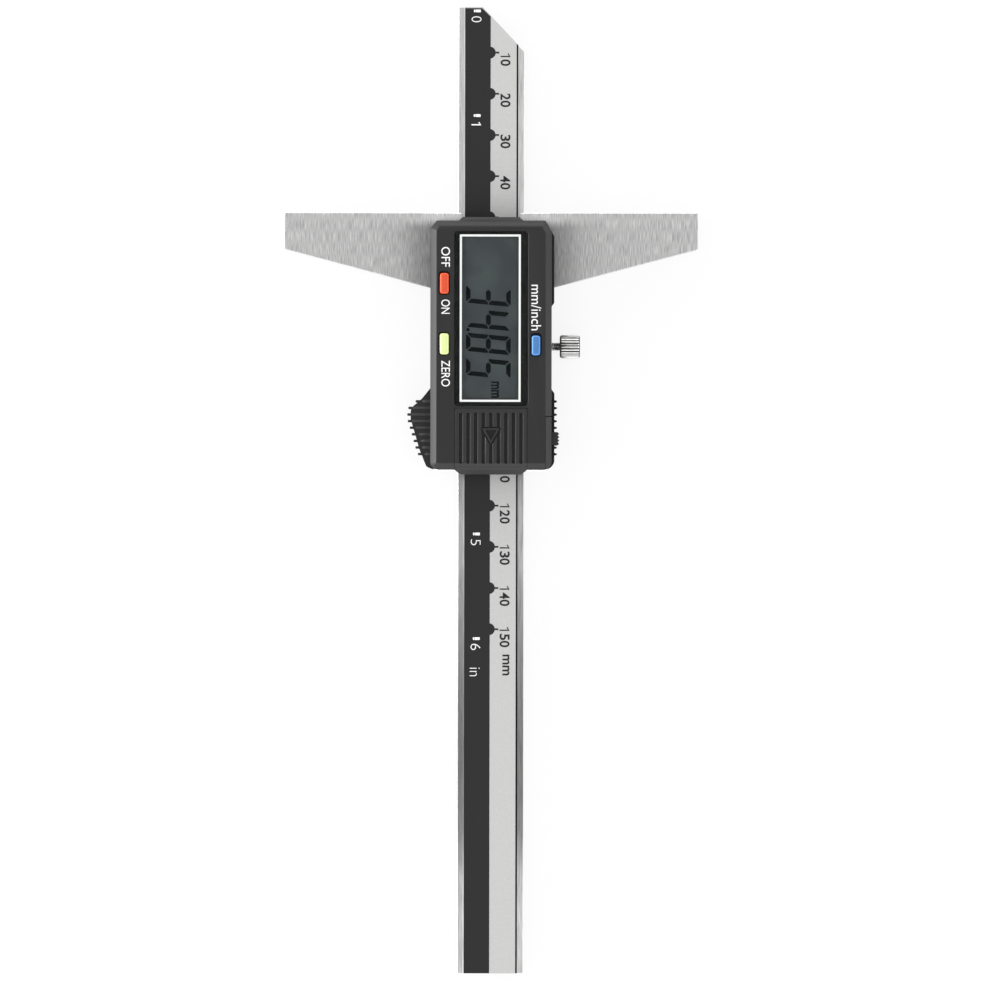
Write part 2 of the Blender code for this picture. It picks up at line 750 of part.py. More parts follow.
def make_lock_screw():
    knob_x = HOUSING_HALF + LOCK_NECK_LENGTH
    end_x = knob_x + LOCK_KNOB_LENGTH
    knob = prism("lock_screw", fluted_outline(), knob_x, end_x, axis="X")
    envelope_profile = (
        (0, end_x),
        (LOCK_KNOB_END_RADIUS, end_x),
        (LOCK_KNOB_RADIUS + MERGE_DISTANCE, end_x - LOCK_KNOB_BEVEL),
        (LOCK_KNOB_RADIUS + MERGE_DISTANCE, knob_x + LOCK_KNOB_BEVEL),
        (LOCK_KNOB_END_RADIUS, knob_x),
        (0, knob_x),
    )
    envelope = turned("envelope", envelope_profile, (0, LOCK_Y, BEAM_MID_Z), axis="X", sides=KNOB_SIDES)
    keep_common(knob, envelope)
    tip = (SLOT_RIGHT_X, LOCK_Y, BEAM_MID_Z)
    root = (knob_x + LOCK_KNOB_LENGTH / 2, LOCK_Y, BEAM_MID_Z)
    return join(knob, rod("shank", LOCK_SHANK_RADIUS, tip, root))


# Housing

def housing_outline():
    top_x = HOUSING_HALF - HOUSING_CORNER_WIDTH
    right = [
        (top_x, HOUSING_TOP_Y),
        (HOUSING_HALF, HOUSING_TOP_Y - HOUSING_CORNER_HEIGHT),
    ]
    right += foot_arc(HOUSING_HALF, HOUSING_LOW_Y, HOUSING_FOOT_RADIUS)
    return mirrored(right)


def foot_arc(side_x, low_y, radius):
    """The round corner between the right side and the foot, from the side down."""
    arc = []
    for step in range(CORNER_STEPS + 1):
        angle = -math.pi / 2 * step / CORNER_STEPS
        arc.append((
            side_x + radius * (math.cos(angle) - 1),
            low_y + radius * (math.sin(angle) + 1),
        ))
    return arc


def grip_point(along, out):
    """A point of the thumb grip's edge, from shares of its length and its reach."""
    return (-HOUSING_HALF - out * GRIP_REACH, GRIP_TOP_Y - along * GRIP_LENGTH)


def grip_edge_at(y):
    """How far out the thumb grip reaches at a height along the gauge."""
    along = (GRIP_TOP_Y - y) / GRIP_LENGTH
    for (low, low_out), (high, high_out) in zip(GRIP_OUTLINE_SHARES, GRIP_OUTLINE_SHARES[1:]):
        if low <= along <= high:
            out = low_out + (high_out - low_out) * (along - low) / (high - low)
            return grip_point(along, out)[0]
    return -HOUSING_HALF


def make_grip():
    """The curved thumb grip on the left, lower than the front."""
    inner = -HOUSING_HALF + 2 * WALL
    outline = [grip_point(along, out) for along, out in GRIP_OUTLINE_SHARES]
    outline.append((inner, HOUSING_LOW_Y + HOUSING_FOOT_RADIUS))
    outline.append((inner, GRIP_TOP_Y))
    grip = prism("grip", outline, HOUSING_SKIRT_Z, GRIP_TOP_Z - GRIP_BEVEL)
    return slope_top(grip, GRIP_BEVEL, GRIP_BEVEL)


def rib_heights():
    return [RIB_TOP_Y - number * RIB_PITCH for number in range(RIB_COUNT)]


def make_grip_rib(y):
    """One rib over the top of the thumb grip and down its side."""
    edge = grip_edge_at(y)
    side_x = edge - RIB_HEIGHT
    low = HOUSING_SKIRT_Z + RIB_FOOT
    corner_z = GRIP_TOP_Z - GRIP_BEVEL
    top = GRIP_TOP_Z + RIB_TOP_HEIGHT
    inner = -HOUSING_HALF + WALL / 2
    outline = [
        (inner, low),
        (side_x, low),
        (side_x, corner_z),
        (side_x + RIB_HEIGHT, top),
        (inner, top),
    ]
    return prism("rib", outline, *around(y, RIB_WIDTH), axis="Y")


def make_flanks():
    """The two wider, lower bands on the right side, above and below the lock screw."""
    outer = HOUSING_HALF + FLANK_REACH
    inner = HOUSING_HALF - 2 * WALL
    waist_x = HOUSING_HALF - FLANK_REACH
    upper_top = HOUSING_TOP_Y - FLANK_SETBACK
    upper_low = HOUSING_TOP_Y - FLANK_UPPER_LENGTH
    upper = [
        (inner, upper_top),
        (HOUSING_HALF - HOUSING_CORNER_WIDTH, upper_top),
        (outer, HOUSING_TOP_Y - FLANK_SHOULDER_DROP),
        (outer, upper_low + FLANK_STEP),
        (waist_x, upper_low),
        (inner, upper_low),
    ]
    lower_top = HOUSING_LOW_Y + FLANK_LOWER_LENGTH
    lower = [
        (inner, lower_top),
        (waist_x, lower_top),
        (outer, lower_top - FLANK_STEP / 2),
    ]
    lower += foot_arc(outer, HOUSING_LOW_Y + FLANK_SETBACK, FLANK_FOOT_RADIUS)
    lower.append((inner, HOUSING_LOW_Y + FLANK_SETBACK))
    return [
        prism("flank", upper, HOUSING_SKIRT_Z, FLANK_TOP_Z),
        prism("flank", lower, HOUSING_SKIRT_Z, FLANK_TOP_Z),
    ]


def make_flank_rib(y, low):
    """One rib over the top of the right flank and down its side."""
    outer = HOUSING_HALF + FLANK_REACH
    inner = HOUSING_HALF - WALL / 2
    top = FLANK_TOP_Z + RIB_TOP_HEIGHT
    outline = [
        (inner, low),
        (outer + RIB_HEIGHT, low),
        (outer + RIB_HEIGHT, FLANK_TOP_Z - RIB_HEIGHT),
        (outer, top),
        (inner, top),
    ]
    return prism("rib", outline, *around(y, RIB_WIDTH), axis="Y")


def make_top_tab():
    """The sloping tab that closes the notch of the base over the blade."""
    root_y = HOUSING_TOP_Y - WALL / 2
    root_z = SHOULDER_Z - TAB_ROOT_STEP
    plan = mirrored([
        (TAB_HALF, HOUSING_TOP_Y + TAB_REACH),
        (TAB_HALF + TAB_SIDE_SLOPE, HOUSING_TOP_Y),
        (TAB_HALF + TAB_SIDE_SLOPE, root_y),
    ])
    tab = prism("tab", plan, BEAM_MID_Z, HOUSING_HEIGHT)
    side = [
        (root_y - OVERRUN, LIP_LOW_Z),
        (HOUSING_TOP_Y + TAB_REACH + OVERRUN, LIP_LOW_Z),
        (HOUSING_TOP_Y + TAB_REACH + OVERRUN, BOARD_LOW_Z + TAB_EDGE_HEIGHT),
        (HOUSING_TOP_Y + TAB_REACH, BOARD_LOW_Z + TAB_EDGE_HEIGHT),
        (HOUSING_TOP_Y, root_z),
        (root_y - OVERRUN, root_z),
    ]
    return keep_common(tab, prism("side", side, *around(0, HOUSING_WIDTH), axis="X"))


def housing_block():
    """The outer form of the housing before it is hollowed, which the port cover shares."""
    block = prism("front_housing", housing_outline(), HOUSING_SKIRT_Z, SHOULDER_Z)
    slope_top(block, HOUSING_BEVEL, HOUSING_BEVEL)
    return join(block, make_grip(), make_top_tab(), *make_flanks())


def port_block(gap):
    """The corner of the housing that the data port cover takes, less or plus a gap."""
    left = HOUSING_HALF - HOUSING_BEVEL - gap
    right = HOUSING_HALF + GRIP_REACH
    return box(
        "port_block",
        (left, right),
        (HOUSING_LOW_Y - OVERRUN, PORT_TOP_Y + gap),
        (PORT_BASE_Z - gap, HOUSING_HEIGHT + OVERRUN),
    )


def port_rail(name, gap, low, high):
    """The tongue and hook that guide the data port cover, or the groove for them."""
    outer = HOUSING_HALF - HOUSING_BEVEL
    inner = outer - PORT_TONGUE_WIDTH
    tongue_low = CEILING_Z - FIT - PORT_TONGUE_THICKNESS
    tongue_high = CEILING_Z - FIT
    hook_top = tongue_high + PORT_HOOK_HEIGHT
    outline = [
        (inner - gap, tongue_low - gap),
        (outer + WALL / 2, tongue_low - gap),
        (outer + WALL / 2, tongue_high + gap),
        (inner + PORT_HOOK_WIDTH + gap, tongue_high + gap),
        (inner + PORT_HOOK_WIDTH + gap, hook_top + gap),
        (inner - gap, hook_top + gap),
    ]
    return prism(name, outline, low, high, axis="Y")


def cover_section(gap):
    """Half of the battery cover's section across the gauge, grown by a gap, with its sliding rail."""
    flange_high = CEILING_Z - FIT
    flange_low = flange_high - COVER_FLANGE_THICKNESS
    return [
        (COVER_HALF + gap, HOUSING_HEIGHT + gap),
        (COVER_HALF + gap, flange_high + gap),
        (COVER_HALF + COVER_FLANGE_OUT + gap, flange_high + gap),
        (COVER_HALF + COVER_FLANGE_OUT + gap, flange_low - gap),
    ]


def make_front_housing():
    housing = housing_block()
    join(housing, *[make_grip_rib(y) for y in rib_heights()])
    port_ribs = [y for y in rib_heights() if y > PORT_TOP_Y]
    join(housing, *[make_flank_rib(y, HOUSING_SKIRT_Z + RIB_FOOT) for y in port_ribs])
    cut(housing, *housing_room())
    bosses = []
    for x, y in housing_screw_places():
        bosses.append(
            rod("boss", BOSS_RADIUS, (x, y, BOARD_LOW_Z), (x, y, CEILING_Z + FRONT_WALL / 2), BOSS_SIDES)
        )
    join(housing, *bosses)
    cut(housing, *housing_openings())
    return housing


def housing_room():
    """The hollows of the housing: the rails, the board and display, the battery and the data port."""
    wide = HOUSING_HALF + GRIP_REACH + OVERRUN
    below = (HOUSING_LOW_Y - OVERRUN, HOUSING_TOP_Y + OVERRUN)
    rails = box("rails", (-FRAME_HALF - FIT, FRAME_HALF + FIT), below, (-OVERRUN, BOARD_LOW_Z))
    wings = box(
        "wings",
        (-wide, wide),
        (WING_ROOT_Y - FIT, HOUSING_TOP_Y + TAB_REACH + OVERRUN),
        (-OVERRUN, BOARD_LOW_Z),
    )
    display = box(
        "display",
        (-CAVITY_HALF, CAVITY_HALF),
        (CAVITY_LOW_Y, CAVITY_TOP_Y),
        (-OVERRUN, CEILING_Z),
    )
    port_x = (CAVITY_HALF - PORT_CAVITY_WIDTH, CAVITY_HALF)
    port_y = (HOUSING_LOW_Y + WALL, CAVITY_LOW_Y + OVERRUN)
    port = box("port", port_x, port_y, (-OVERRUN, CEILING_Z))
    return [rails, wings, display, port]


def housing_openings():
    """The openings through the housing's walls, each a clearance wider than what fills it."""
    above = HOUSING_HEIGHT + OVERRUN
    pocket_outline = rounded_rectangle(
        around(0, LENS_POCKET_WIDTH), around(DISPLAY_Y, LENS_POCKET_LENGTH), LENS_POCKET_RADIUS
    )
    view_outline = rounded_rectangle(around(0, VIEW_WIDTH), around(DISPLAY_Y, VIEW_LENGTH), VIEW_RADIUS)
    tools = [
        prism("pocket", pocket_outline, HOUSING_HEIGHT - LENS_POCKET_DEPTH, above),
        prism("view", view_outline, CEILING_Z - OVERRUN, above),
    ]
    for name, x, y in button_places():
        outline = rounded_rectangle(
            around(x, BUTTON_WIDTH + 2 * FIT), around(y, BUTTON_LENGTH + 2 * FIT), BUTTON_RADIUS + FIT
        )
        tools.append(prism(name, outline, CEILING_Z - OVERRUN, above))
    tools += battery_openings()
    tools += port_openings()
    tools += side_holes()
    return tools


def battery_openings():
    below = HOUSING_LOW_Y - OVERRUN
    slide = prism("slide", mirrored(cover_section(FIT)), below, COVER_TOP_Y + FIT, axis="Y")
    pocket = rod(
        "pocket",
        BATTERY_RADIUS + FIT,
        (0, BATTERY_Y, FRAME_TOP_Z),
        (0, BATTERY_Y, CEILING_Z),
        BATTERY_SIDES,
    )
    contacts = box(
        "contacts",
        around(0, MINUS_CONTACT_WIDTH + 2 * FIT),
        (BATTERY_Y, CAVITY_LOW_Y + OVERRUN),
        (FRAME_TOP_Z, CEILING_Z - COVER_FLANGE_THICKNESS),
    )
    return [slide, pocket, contacts]


def port_openings():
    below = HOUSING_LOW_Y - OVERRUN
    return [port_block(FIT), port_rail("groove", FIT, below, PORT_TOP_Y + FIT)]


def side_holes():
    """The holes in the right side for the lock screw and for reaching the gib screws."""
    inside = CAVITY_HALF - OVERRUN
    outside = HOUSING_HALF + FLANK_REACH + OVERRUN
    holes = []
    for y in (LOCK_Y, *gib_screw_heights()):
        radius = LOCK_SHANK_RADIUS + FIT
        holes.append(rod("hole", radius, (inside, y, BEAM_MID_Z), (outside, y, BEAM_MID_Z), HOLE_SIDES))
    for x, y in housing_screw_places():
        tip = BEAM_LOW_Z + FIT + HOUSING_SCREW_HEAD_HEIGHT + HOUSING_SCREW_LENGTH + FIT
        radius = HOUSING_SCREW_RADIUS + FIT
        holes.append(rod("pilot", radius, (x, y, FRAME_TOP_Z), (x, y, tip), HOLE_SIDES))
    return holes


def make_housing_screws():
    screws = []
    seat = BEAM_LOW_Z + FIT + HOUSING_SCREW_HEAD_HEIGHT
    for number, (x, y) in enumerate(housing_screw_places(), start=1):
        screws.append(pan_screw(
            f"housing_screw_{number}", x, y, seat,
            HOUSING_SCREW_HEAD_RADIUS, HOUSING_SCREW_HEAD_HEIGHT,
            HOUSING_SCREW_RADIUS, HOUSING_SCREW_LENGTH, up=True,
        ))
    return screws


# Display

def make_display():
    """The window, the display glass, its holder and the two rubber connectors."""
    lens_low = HOUSING_HEIGHT - LENS_POCKET_DEPTH + ADHESIVE_FILM
    lens_outline = rounded_rectangle(
        around(0, LENS_POCKET_WIDTH - 2 * FIT),
        around(DISPLAY_Y, LENS_POCKET_LENGTH - 2 * FIT),
        LENS_POCKET_RADIUS - FIT,
    )
    lens = prism("display_lens", lens_outline, lens_low, lens_low + LENS_THICKNESS)
    top = CEILING_Z - FIT
    glass_low = top - LCD_THICKNESS
    glass = box("lcd_panel", around(0, LCD_WIDTH), around(DISPLAY_Y, LCD_LENGTH), (glass_low, top))
    room_width = LCD_WIDTH + 2 * FIT
    room_length = LCD_LENGTH + 2 * FIT
    holder = box(
        "lcd_holder",
        around(0, room_width + 2 * HOLDER_WALL),
        around(DISPLAY_Y, room_length + 2 * HOLDER_WALL),
        (ON_BOARD_Z, top),
    )
    room = box(
        "room",
        around(0, room_width),
        around(DISPLAY_Y, room_length),
        (ON_BOARD_Z - OVERRUN, top + OVERRUN),
    )
    cut(holder, room)
    zebras = []
    zebra_x = LCD_WIDTH / 2 - ZEBRA_INSET - ZEBRA_WIDTH / 2
    for name, x in (("zebra_strip_left", -zebra_x), ("zebra_strip_right", zebra_x)):
        zebras.append(box(
            name, around(x, ZEBRA_WIDTH), around(DISPLAY_Y, ZEBRA_LENGTH), (ON_BOARD_Z, glass_low - FIT)
        ))
    return [lens, glass, holder] + zebras


# Circuit board

def make_main_board():
    low = CAVITY_LOW_Y + BOARD_END_GAP
    outline = [
        (-BOARD_HALF, CAVITY_TOP_Y - BOARD_END_GAP),
        (-BOARD_HALF, low),
        (BOARD_HALF - TONGUE_WIDTH, low),
        (BOARD_HALF - TONGUE_WIDTH, low - TONGUE_LENGTH),
        (BOARD_HALF, low - TONGUE_LENGTH),
        (BOARD_HALF, CAVITY_TOP_Y - BOARD_END_GAP),
    ]
    board = prism("main_board", outline, BOARD_LOW_Z, BOARD_TOP_Z)
    tools = []
    below = BOARD_LOW_Z - OVERRUN
    above = BOARD_TOP_Z + OVERRUN
    for x, y in housing_screw_places():
        tools.append(rod("notch", BOSS_RADIUS + FIT, (x, y, below), (x, y, above), BOSS_SIDES))
    for x, y in board_screw_places():
        tools.append(rod("hole", BOARD_SCREW_RADIUS + FIT, (x, y, below), (x, y, above), HOLE_SIDES))
    return cut(board, *tools)


def make_board_parts():
    """The sensor board under the main board, and the chip, snap domes, contacts and screws on it."""
    reader_outline = rounded_rectangle(
        around(0, READER_WINDOW_WIDTH - 2 * FIT),
        around(DISPLAY_Y, READER_WINDOW_LENGTH - 2 * FIT),
        READER_WINDOW_RADIUS,
    )
    reader_top = BOARD_LOW_Z - FIT
    reader = prism("reader_plate", reader_outline, reader_top - READER_THICKNESS, reader_top)
    chip_low = BOARD_TOP_Z + ADHESIVE_FILM
    chip_profile = [(0, chip_low + CHIP_HEIGHT)]
    for step in range(1, CORNER_STEPS + 1):
        angle = math.pi / 2 * step / CORNER_STEPS
        chip_profile.append((CHIP_RADIUS * math.sin(angle), chip_low + CHIP_HEIGHT * math.cos(angle)))
    chip_profile.append((0, chip_low))
    parts = [reader, turned("chip_blob", chip_profile, (0, DISPLAY_Y, 0))]
    for number, (_, x, y) in enumerate(button_places(), start=1):
        parts.append(rod(
            f"switch_dome_{number}", DOME_RADIUS, (x, y, chip_low),
            (x, y, chip_low + DOME_HEIGHT), SCREW_SIDES, DOME_CROWN_RADIUS,
        ))
    contact_x = BOARD_HALF - FIT - CONTACT_LENGTH / 2
    first_y = CAVITY_LOW_Y + BOARD_END_GAP - TONGUE_LENGTH + CONTACT_FIRST_RISE
    for number in range(CONTACT_COUNT):
        parts.append(box(
            f"data_contact_{number + 1}",
            around(contact_x, CONTACT_LENGTH),
            around(first_y + number * CONTACT_PITCH, CONTACT_WIDTH),
            (chip_low, chip_low + CONTACT_THICKNESS),
        ))
    for number, (x, y) in enumerate(board_screw_places(), start=1):
        parts.append(pan_screw(
            f"board_screw_{number}", x, y, ON_BOARD_Z,
            BOARD_SCREW_HEAD_RADIUS, BOARD_SCREW_HEAD_HEIGHT,
            BOARD_SCREW_RADIUS, BOARD_SCREW_LENGTH - BOARD_THICKNESS, up=False,
        ))
    return parts


# Battery

def make_battery():
    """The button cell, with its narrower negative side towards the blade, and its two contacts."""
    low = BATTERY_LOW_Z
    top = low + BATTERY_THICKNESS
    rim = low + BATTERY_RIM_HEIGHT
    profile = (
        (0, top),
        (BATTERY_RADIUS, top),
        (BATTERY_RADIUS, rim),
        (BATTERY_RIM_RADIUS, rim),
        (BATTERY_RIM_RADIUS, low),
        (0, low),
    )
    cell = turned("battery_cell", profile, (0, BATTERY_Y, 0), sides=BATTERY_SIDES)
    minus_low = BOARD_LOW_Z
    minus = box(
        "battery_contact_minus",
        around(0, MINUS_CONTACT_WIDTH),
        (BATTERY_Y - BATTERY_RADIUS / 2, CAVITY_LOW_Y + BOARD_END_GAP - FIT),
        (minus_low, minus_low + MINUS_CONTACT_THICKNESS),
    )
    leaf_y = BATTERY_Y + BATTERY_RADIUS + FIT
    foot_low = rim + FIT
    foot_top = foot_low + PLUS_CONTACT_THICKNESS
    leaf = [
        (leaf_y, foot_low),
        (leaf_y + PLUS_CONTACT_FOOT, foot_low),
        (leaf_y + PLUS_CONTACT_FOOT, foot_top),
        (leaf_y + PLUS_CONTACT_THICKNESS, foot_top),
        (leaf_y + PLUS_CONTACT_THICKNESS, CEILING_Z - FRONT_WALL),
        (leaf_y, CEILING_Z - FRONT_WALL),
    ]
    plus = prism("battery_contact_plus", leaf, *around(0, PLUS_CONTACT_WIDTH), axis="X")
    return [cell, minus, plus]


def make_battery_cover():
    under = HOUSING_HEIGHT - COVER_THICKNESS
    length = (HOUSING_LOW_Y, COVER_TOP_Y)
    cover = box("battery_cover", (-COVER_HALF, COVER_HALF), length, (under, HOUSING_HEIGHT))
    rail = cover_section(0)[1:]
    leg_inner = COVER_HALF - COVER_LEG
    rail_y = (HOUSING_LOW_Y + WALL, COVER_TOP_Y)
    rails = []
    for side in (1, -1):
        leg_top = rail[0][1] + COVER_THICKNESS / 2
        outline = [(leg_inner, leg_top), (COVER_HALF, leg_top)]
        outline += rail
        outline.append((leg_inner, rail[-1][1]))
        rails.append(prism("rail", [(side * x, z) for x, z in outline], *rail_y, axis="Y"))
    join(cover, *rails, make_cover_tab())
    cell_low = (0, BATTERY_Y, BOARD_LOW_Z)
    cell_top = (0, BATTERY_Y, BATTERY_LOW_Z + BATTERY_THICKNESS + FIT)
    cut(cover, make_cover_slope(), rod("cell_room", BATTERY_RADIUS + FIT, cell_low, cell_top, BATTERY_SIDES))
    cut(cover, *make_cover_grooves())
    return add_slide_arrow(cover)


def make_cover_tab():
    """The end wall of the cover, in front of the housing's foot, and its thick root under the plate."""
    root_y = HOUSING_LOW_Y + WALL
    inner_y = HOUSING_LOW_Y - FIT
    outer_y = HOUSING_LOW_Y - COVER_TAB_REACH
    foot_z = BOARD_LOW_Z + FIT
    root_z = CEILING_Z - FIT - COVER_FLANGE_THICKNESS
    top_z = SHOULDER_Z
    plan = mirrored([(COVER_HALF, root_y), (COVER_HALF, inner_y), (COVER_HALF - COVER_TAB_SLOPE, outer_y)])
    tab = prism("tab", plan, foot_z, top_z)
    side = [
        (inner_y, foot_z),
        (outer_y, foot_z),
        (outer_y, top_z - COVER_TAB_DROP),
        (HOUSING_LOW_Y, top_z),
        (root_y, top_z),
        (root_y, root_z),
        (inner_y, root_z),
    ]
    return keep_common(tab, prism("side", side, *around(0, HOUSING_WIDTH), axis="X"))


def make_cover_slope():
    """What the cover loses where the housing's front bevel runs across its foot."""
    top = HOUSING_HEIGHT + OVERRUN
    outline = [
        (HOUSING_LOW_Y - COVER_TAB_REACH - OVERRUN, SHOULDER_Z),
        (HOUSING_LOW_Y, SHOULDER_Z),
        (HOUSING_LOW_Y + HOUSING_BEVEL, HOUSING_HEIGHT),
        (HOUSING_LOW_Y + HOUSING_BEVEL, top),
        (HOUSING_LOW_Y - COVER_TAB_REACH - OVERRUN, top),
    ]
    return prism("slope", outline, *around(0, HOUSING_WIDTH), axis="X")


def make_cover_grooves():
    low = HOUSING_LOW_Y + COVER_GROOVE_RISE
    depth = (HOUSING_HEIGHT - COVER_GROOVE_DEPTH, HOUSING_HEIGHT + OVERRUN)
    first = -COVER_GROOVE_PITCH * (COVER_GROOVES - 1) / 2
    grooves = []
    for number in range(COVER_GROOVES):
        x = first + number * COVER_GROOVE_PITCH
        grooves.append(box("groove", around(x, COVER_GROOVE_WIDTH), (low, low + COVER_GROOVE_LENGTH), depth))
    return grooves


def arrow_triangle(inset):
    """The slide arrow's outline, drawn in by a line width."""
    base_y = HOUSING_LOW_Y + ARROW_RISE - inset
    slant = math.hypot(ARROW_WIDTH / 2, ARROW_LENGTH)
    tip_y = HOUSING_LOW_Y + ARROW_RISE - ARROW_LENGTH + inset * slant / (ARROW_WIDTH / 2)
    half = (base_y - tip_y) * ARROW_WIDTH / 2 / ARROW_LENGTH
    return [(-half, base_y), (half, base_y), (0, tip_y)]


def add_slide_arrow(cover):
    """The raised outline of an arrow that shows which way the cover slides."""
    floor = HOUSING_HEIGHT - COVER_GROOVE_DEPTH
    raised = prism("arrow", arrow_triangle(0), floor - COVER_GROOVE_DEPTH / 2, HOUSING_HEIGHT)
    join(cover, raised)
    base_y = HOUSING_LOW_Y + ARROW_RISE
    above = HOUSING_HEIGHT + OVERRUN
    hollow = prism("hollow", arrow_triangle(ARROW_LINE), floor, above)
    bar = box("bar", around(0, ARROW_WIDTH), (base_y, base_y + ARROW_BAR_GAP), (floor, above))
    return cut(cover, hollow, bar)


# Data port cover

def make_data_port_cover():
    cover = keep_common(housing_block(), port_block(0))
    cover.name = "data_port_cover"
    low = HOUSING_LOW_Y + WALL
    join(cover, port_rail("rail", 0, low, PORT_TOP_Y))
    ribs = [make_flank_rib(y, PORT_BASE_Z) for y in rib_heights() if y < PORT_TOP_Y]
    join(cover, *ribs)
    return join(cover, make_nub())


def make_nub():
    """The grooved push nub of the data port cover."""
    outer = HOUSING_HALF + FLANK_REACH + NUB_REACH
    y = around(HOUSING_LOW_Y + NUB_RISE + NUB_LENGTH / 2, NUB_LENGTH)
    z = (FLANK_TOP_Z - NUB_HEIGHT, FLANK_TOP_Z + RIB_TOP_HEIGHT / 2)
    nub = box("nub", (HOUSING_HALF - WALL / 2, outer), y, z)
    pitch = NUB_LENGTH / (NUB_GROOVES + 1)
    grooves = []
    for number in range(1, NUB_GROOVES + 1):
        middle = y[0] + number * pitch
        grooves.append(box(
            "groove",
            (outer - NUB_GROOVE_DEPTH, outer + OVERRUN),
            around(middle, NUB_GROOVE_WIDTH),
            (z[0] - OVERRUN, z[1] + OVERRUN),
        ))
    return cut(nub, *grooves)


# Buttons

def make_button(name, x, y):
    """A push button: its cap, the flange that keeps it in, and its stem over the snap dome."""
    outline = rounded_rectangle(around(x, BUTTON_WIDTH), around(y, BUTTON_LENGTH), BUTTON_RADIUS)
    flange_top = CEILING_Z - FIT
    flange_low = flange_top - BUTTON_FLANGE_THICKNESS
    top = HOUSING_HEIGHT + BUTTON_PROUD
    cap = prism(name, outline, flange_low + BUTTON_FLANGE_THICKNESS / 2, top - BUTTON_EDGE)
    slope_top(cap, BUTTON_EDGE, BUTTON_EDGE)
    flange = box(
        "flange",
        around(x, BUTTON_WIDTH + 2 * BUTTON_FLANGE_OUT),
        around(y, BUTTON_LENGTH + 2 * BUTTON_FLANGE_OUT),
        (flange_low, flange_top),
    )
    stem_low = BOARD_TOP_Z + ADHESIVE_FILM + DOME_HEIGHT + BUTTON_TRAVEL + FIT / 2
    stem = box(
        "stem",
        around(x, BUTTON_STEM_WIDTH),
        around(y, BUTTON_STEM_WIDTH),
        (stem_low, flange_low + BUTTON_FLANGE_THICKNESS / 2),
    )
    return join(cap, flange, stem)


# Finishes: colour, roughness and metallic value

FINISHES = {
    "ground_steel": ((0.50, 0.50, 0.49), 0.38, 1.0),
    "screw_steel": ((0.42, 0.42, 0.43), 0.35, 1.0),
    "nickel": ((0.72, 0.71, 0.69), 0.22, 1.0),
    "bronze": ((0.55, 0.38, 0.18), 0.40, 1.0),
    "black_plastic": ((0.045, 0.045, 0.046), 0.50, 0.0),
    "cover_plastic": ((0.036, 0.036, 0.037), 0.55, 0.0),
    "label_film": ((0.52, 0.52, 0.52), 0.45, 0.0),
    "circuit_board": ((0.03, 0.16, 0.07), 0.45, 0.0),
    "lens": ((0.10, 0.11, 0.11), 0.08, 0.0),
    "display_glass": ((0.065, 0.08, 0.083), 0.20, 0.0),
    "rubber": ((0.06, 0.06, 0.065), 0.80, 0.0),
    "epoxy": ((0.01, 0.01, 0.012), 0.30, 0.0),
    "contact_gold": ((0.80, 0.58, 0.22), 0.25, 1.0),
    "orange_button": ((1.0, 0.10, 0.03), 0.40, 0.0),
    "yellow_button": ((0.84, 1.0, 0.28), 0.40, 0.0),
    "blue_button": ((0.07, 0.26, 0.68), 0.40, 0.0),
}


def finish(piece, slot):
    """Give a piece its own material in one of the finishes."""
    colour, roughness, metallic = FINISHES[slot]
    material = bpy.data.materials.new(piece.name)
    material.use_nodes = True
    shader = material.node_tree.nodes["Principled BSDF"]
    shader.inputs["Base Color"].default_value = (*colour, 1)
    shader.inputs["Roughness"].default_value = roughness
    shader.inputs["Metallic"].default_value = metallic
    piece.data.materials.clear()
    piece.data.materials.append(material)
    piece.data.shade_smooth()
    piece.data.set_sharp_from_angle(angle=SHARP_ANGLE)


def slot_of(name):
    """The finish of each piece, by the start of its name."""
    slots = (
        (("base_frame", "back_plate", "beam"), "ground_steel"),
        (("back_plate_screw", "housing_screw", "board_screw", "gib_screw"), "screw_steel"),
        (("lock_screw", "battery_cell", "battery_contact", "switch_dome"), "nickel"),
        (("gib_strip",), "bronze"),
        (("front_housing",), "black_plastic"),
        (("battery_cover", "data_port_cover", "lcd_holder"), "cover_plastic"),
        (("scale_label",), "label_film"),
        (("main_board", "reader_plate", "scale_board"), "circuit_board"),
        (("display_lens",), "lens"),
        (("lcd_panel",), "display_glass"),
        (("zebra_strip",), "rubber"),
        (("chip_blob",), "epoxy"),
        (("data_contact",), "contact_gold"),
        (("on_off_button",), "orange_button"),
        (("zero_button",), "yellow_button"),
        (("unit_button",), "blue_button"),
    )
    matches = [(len(start), slot) for starts, slot in slots for start in starts if name.startswith(start)]
    return max(matches)[1]


# Assembly

def new_carrier(name, place, group):
    """An empty on a joint's axis, which carries the pieces that move together."""
    carrier = bpy.data.objects.new(name, None)
    carrier.empty_display_size = FIT
    carrier.location = place
    group.objects.link(carrier)
    return carrier


def seat(piece, carrier, group):
    """Hand a piece to its carrier, with its origin there, leaving it where it was modelled."""
    bpy.context.scene.collection.objects.unlink(piece)
    group.objects.link(piece)
    piece.data.transform(Matrix.Translation(-carrier.location))
    piece.parent = carrier
    finish(piece, slot_of(piece.name))


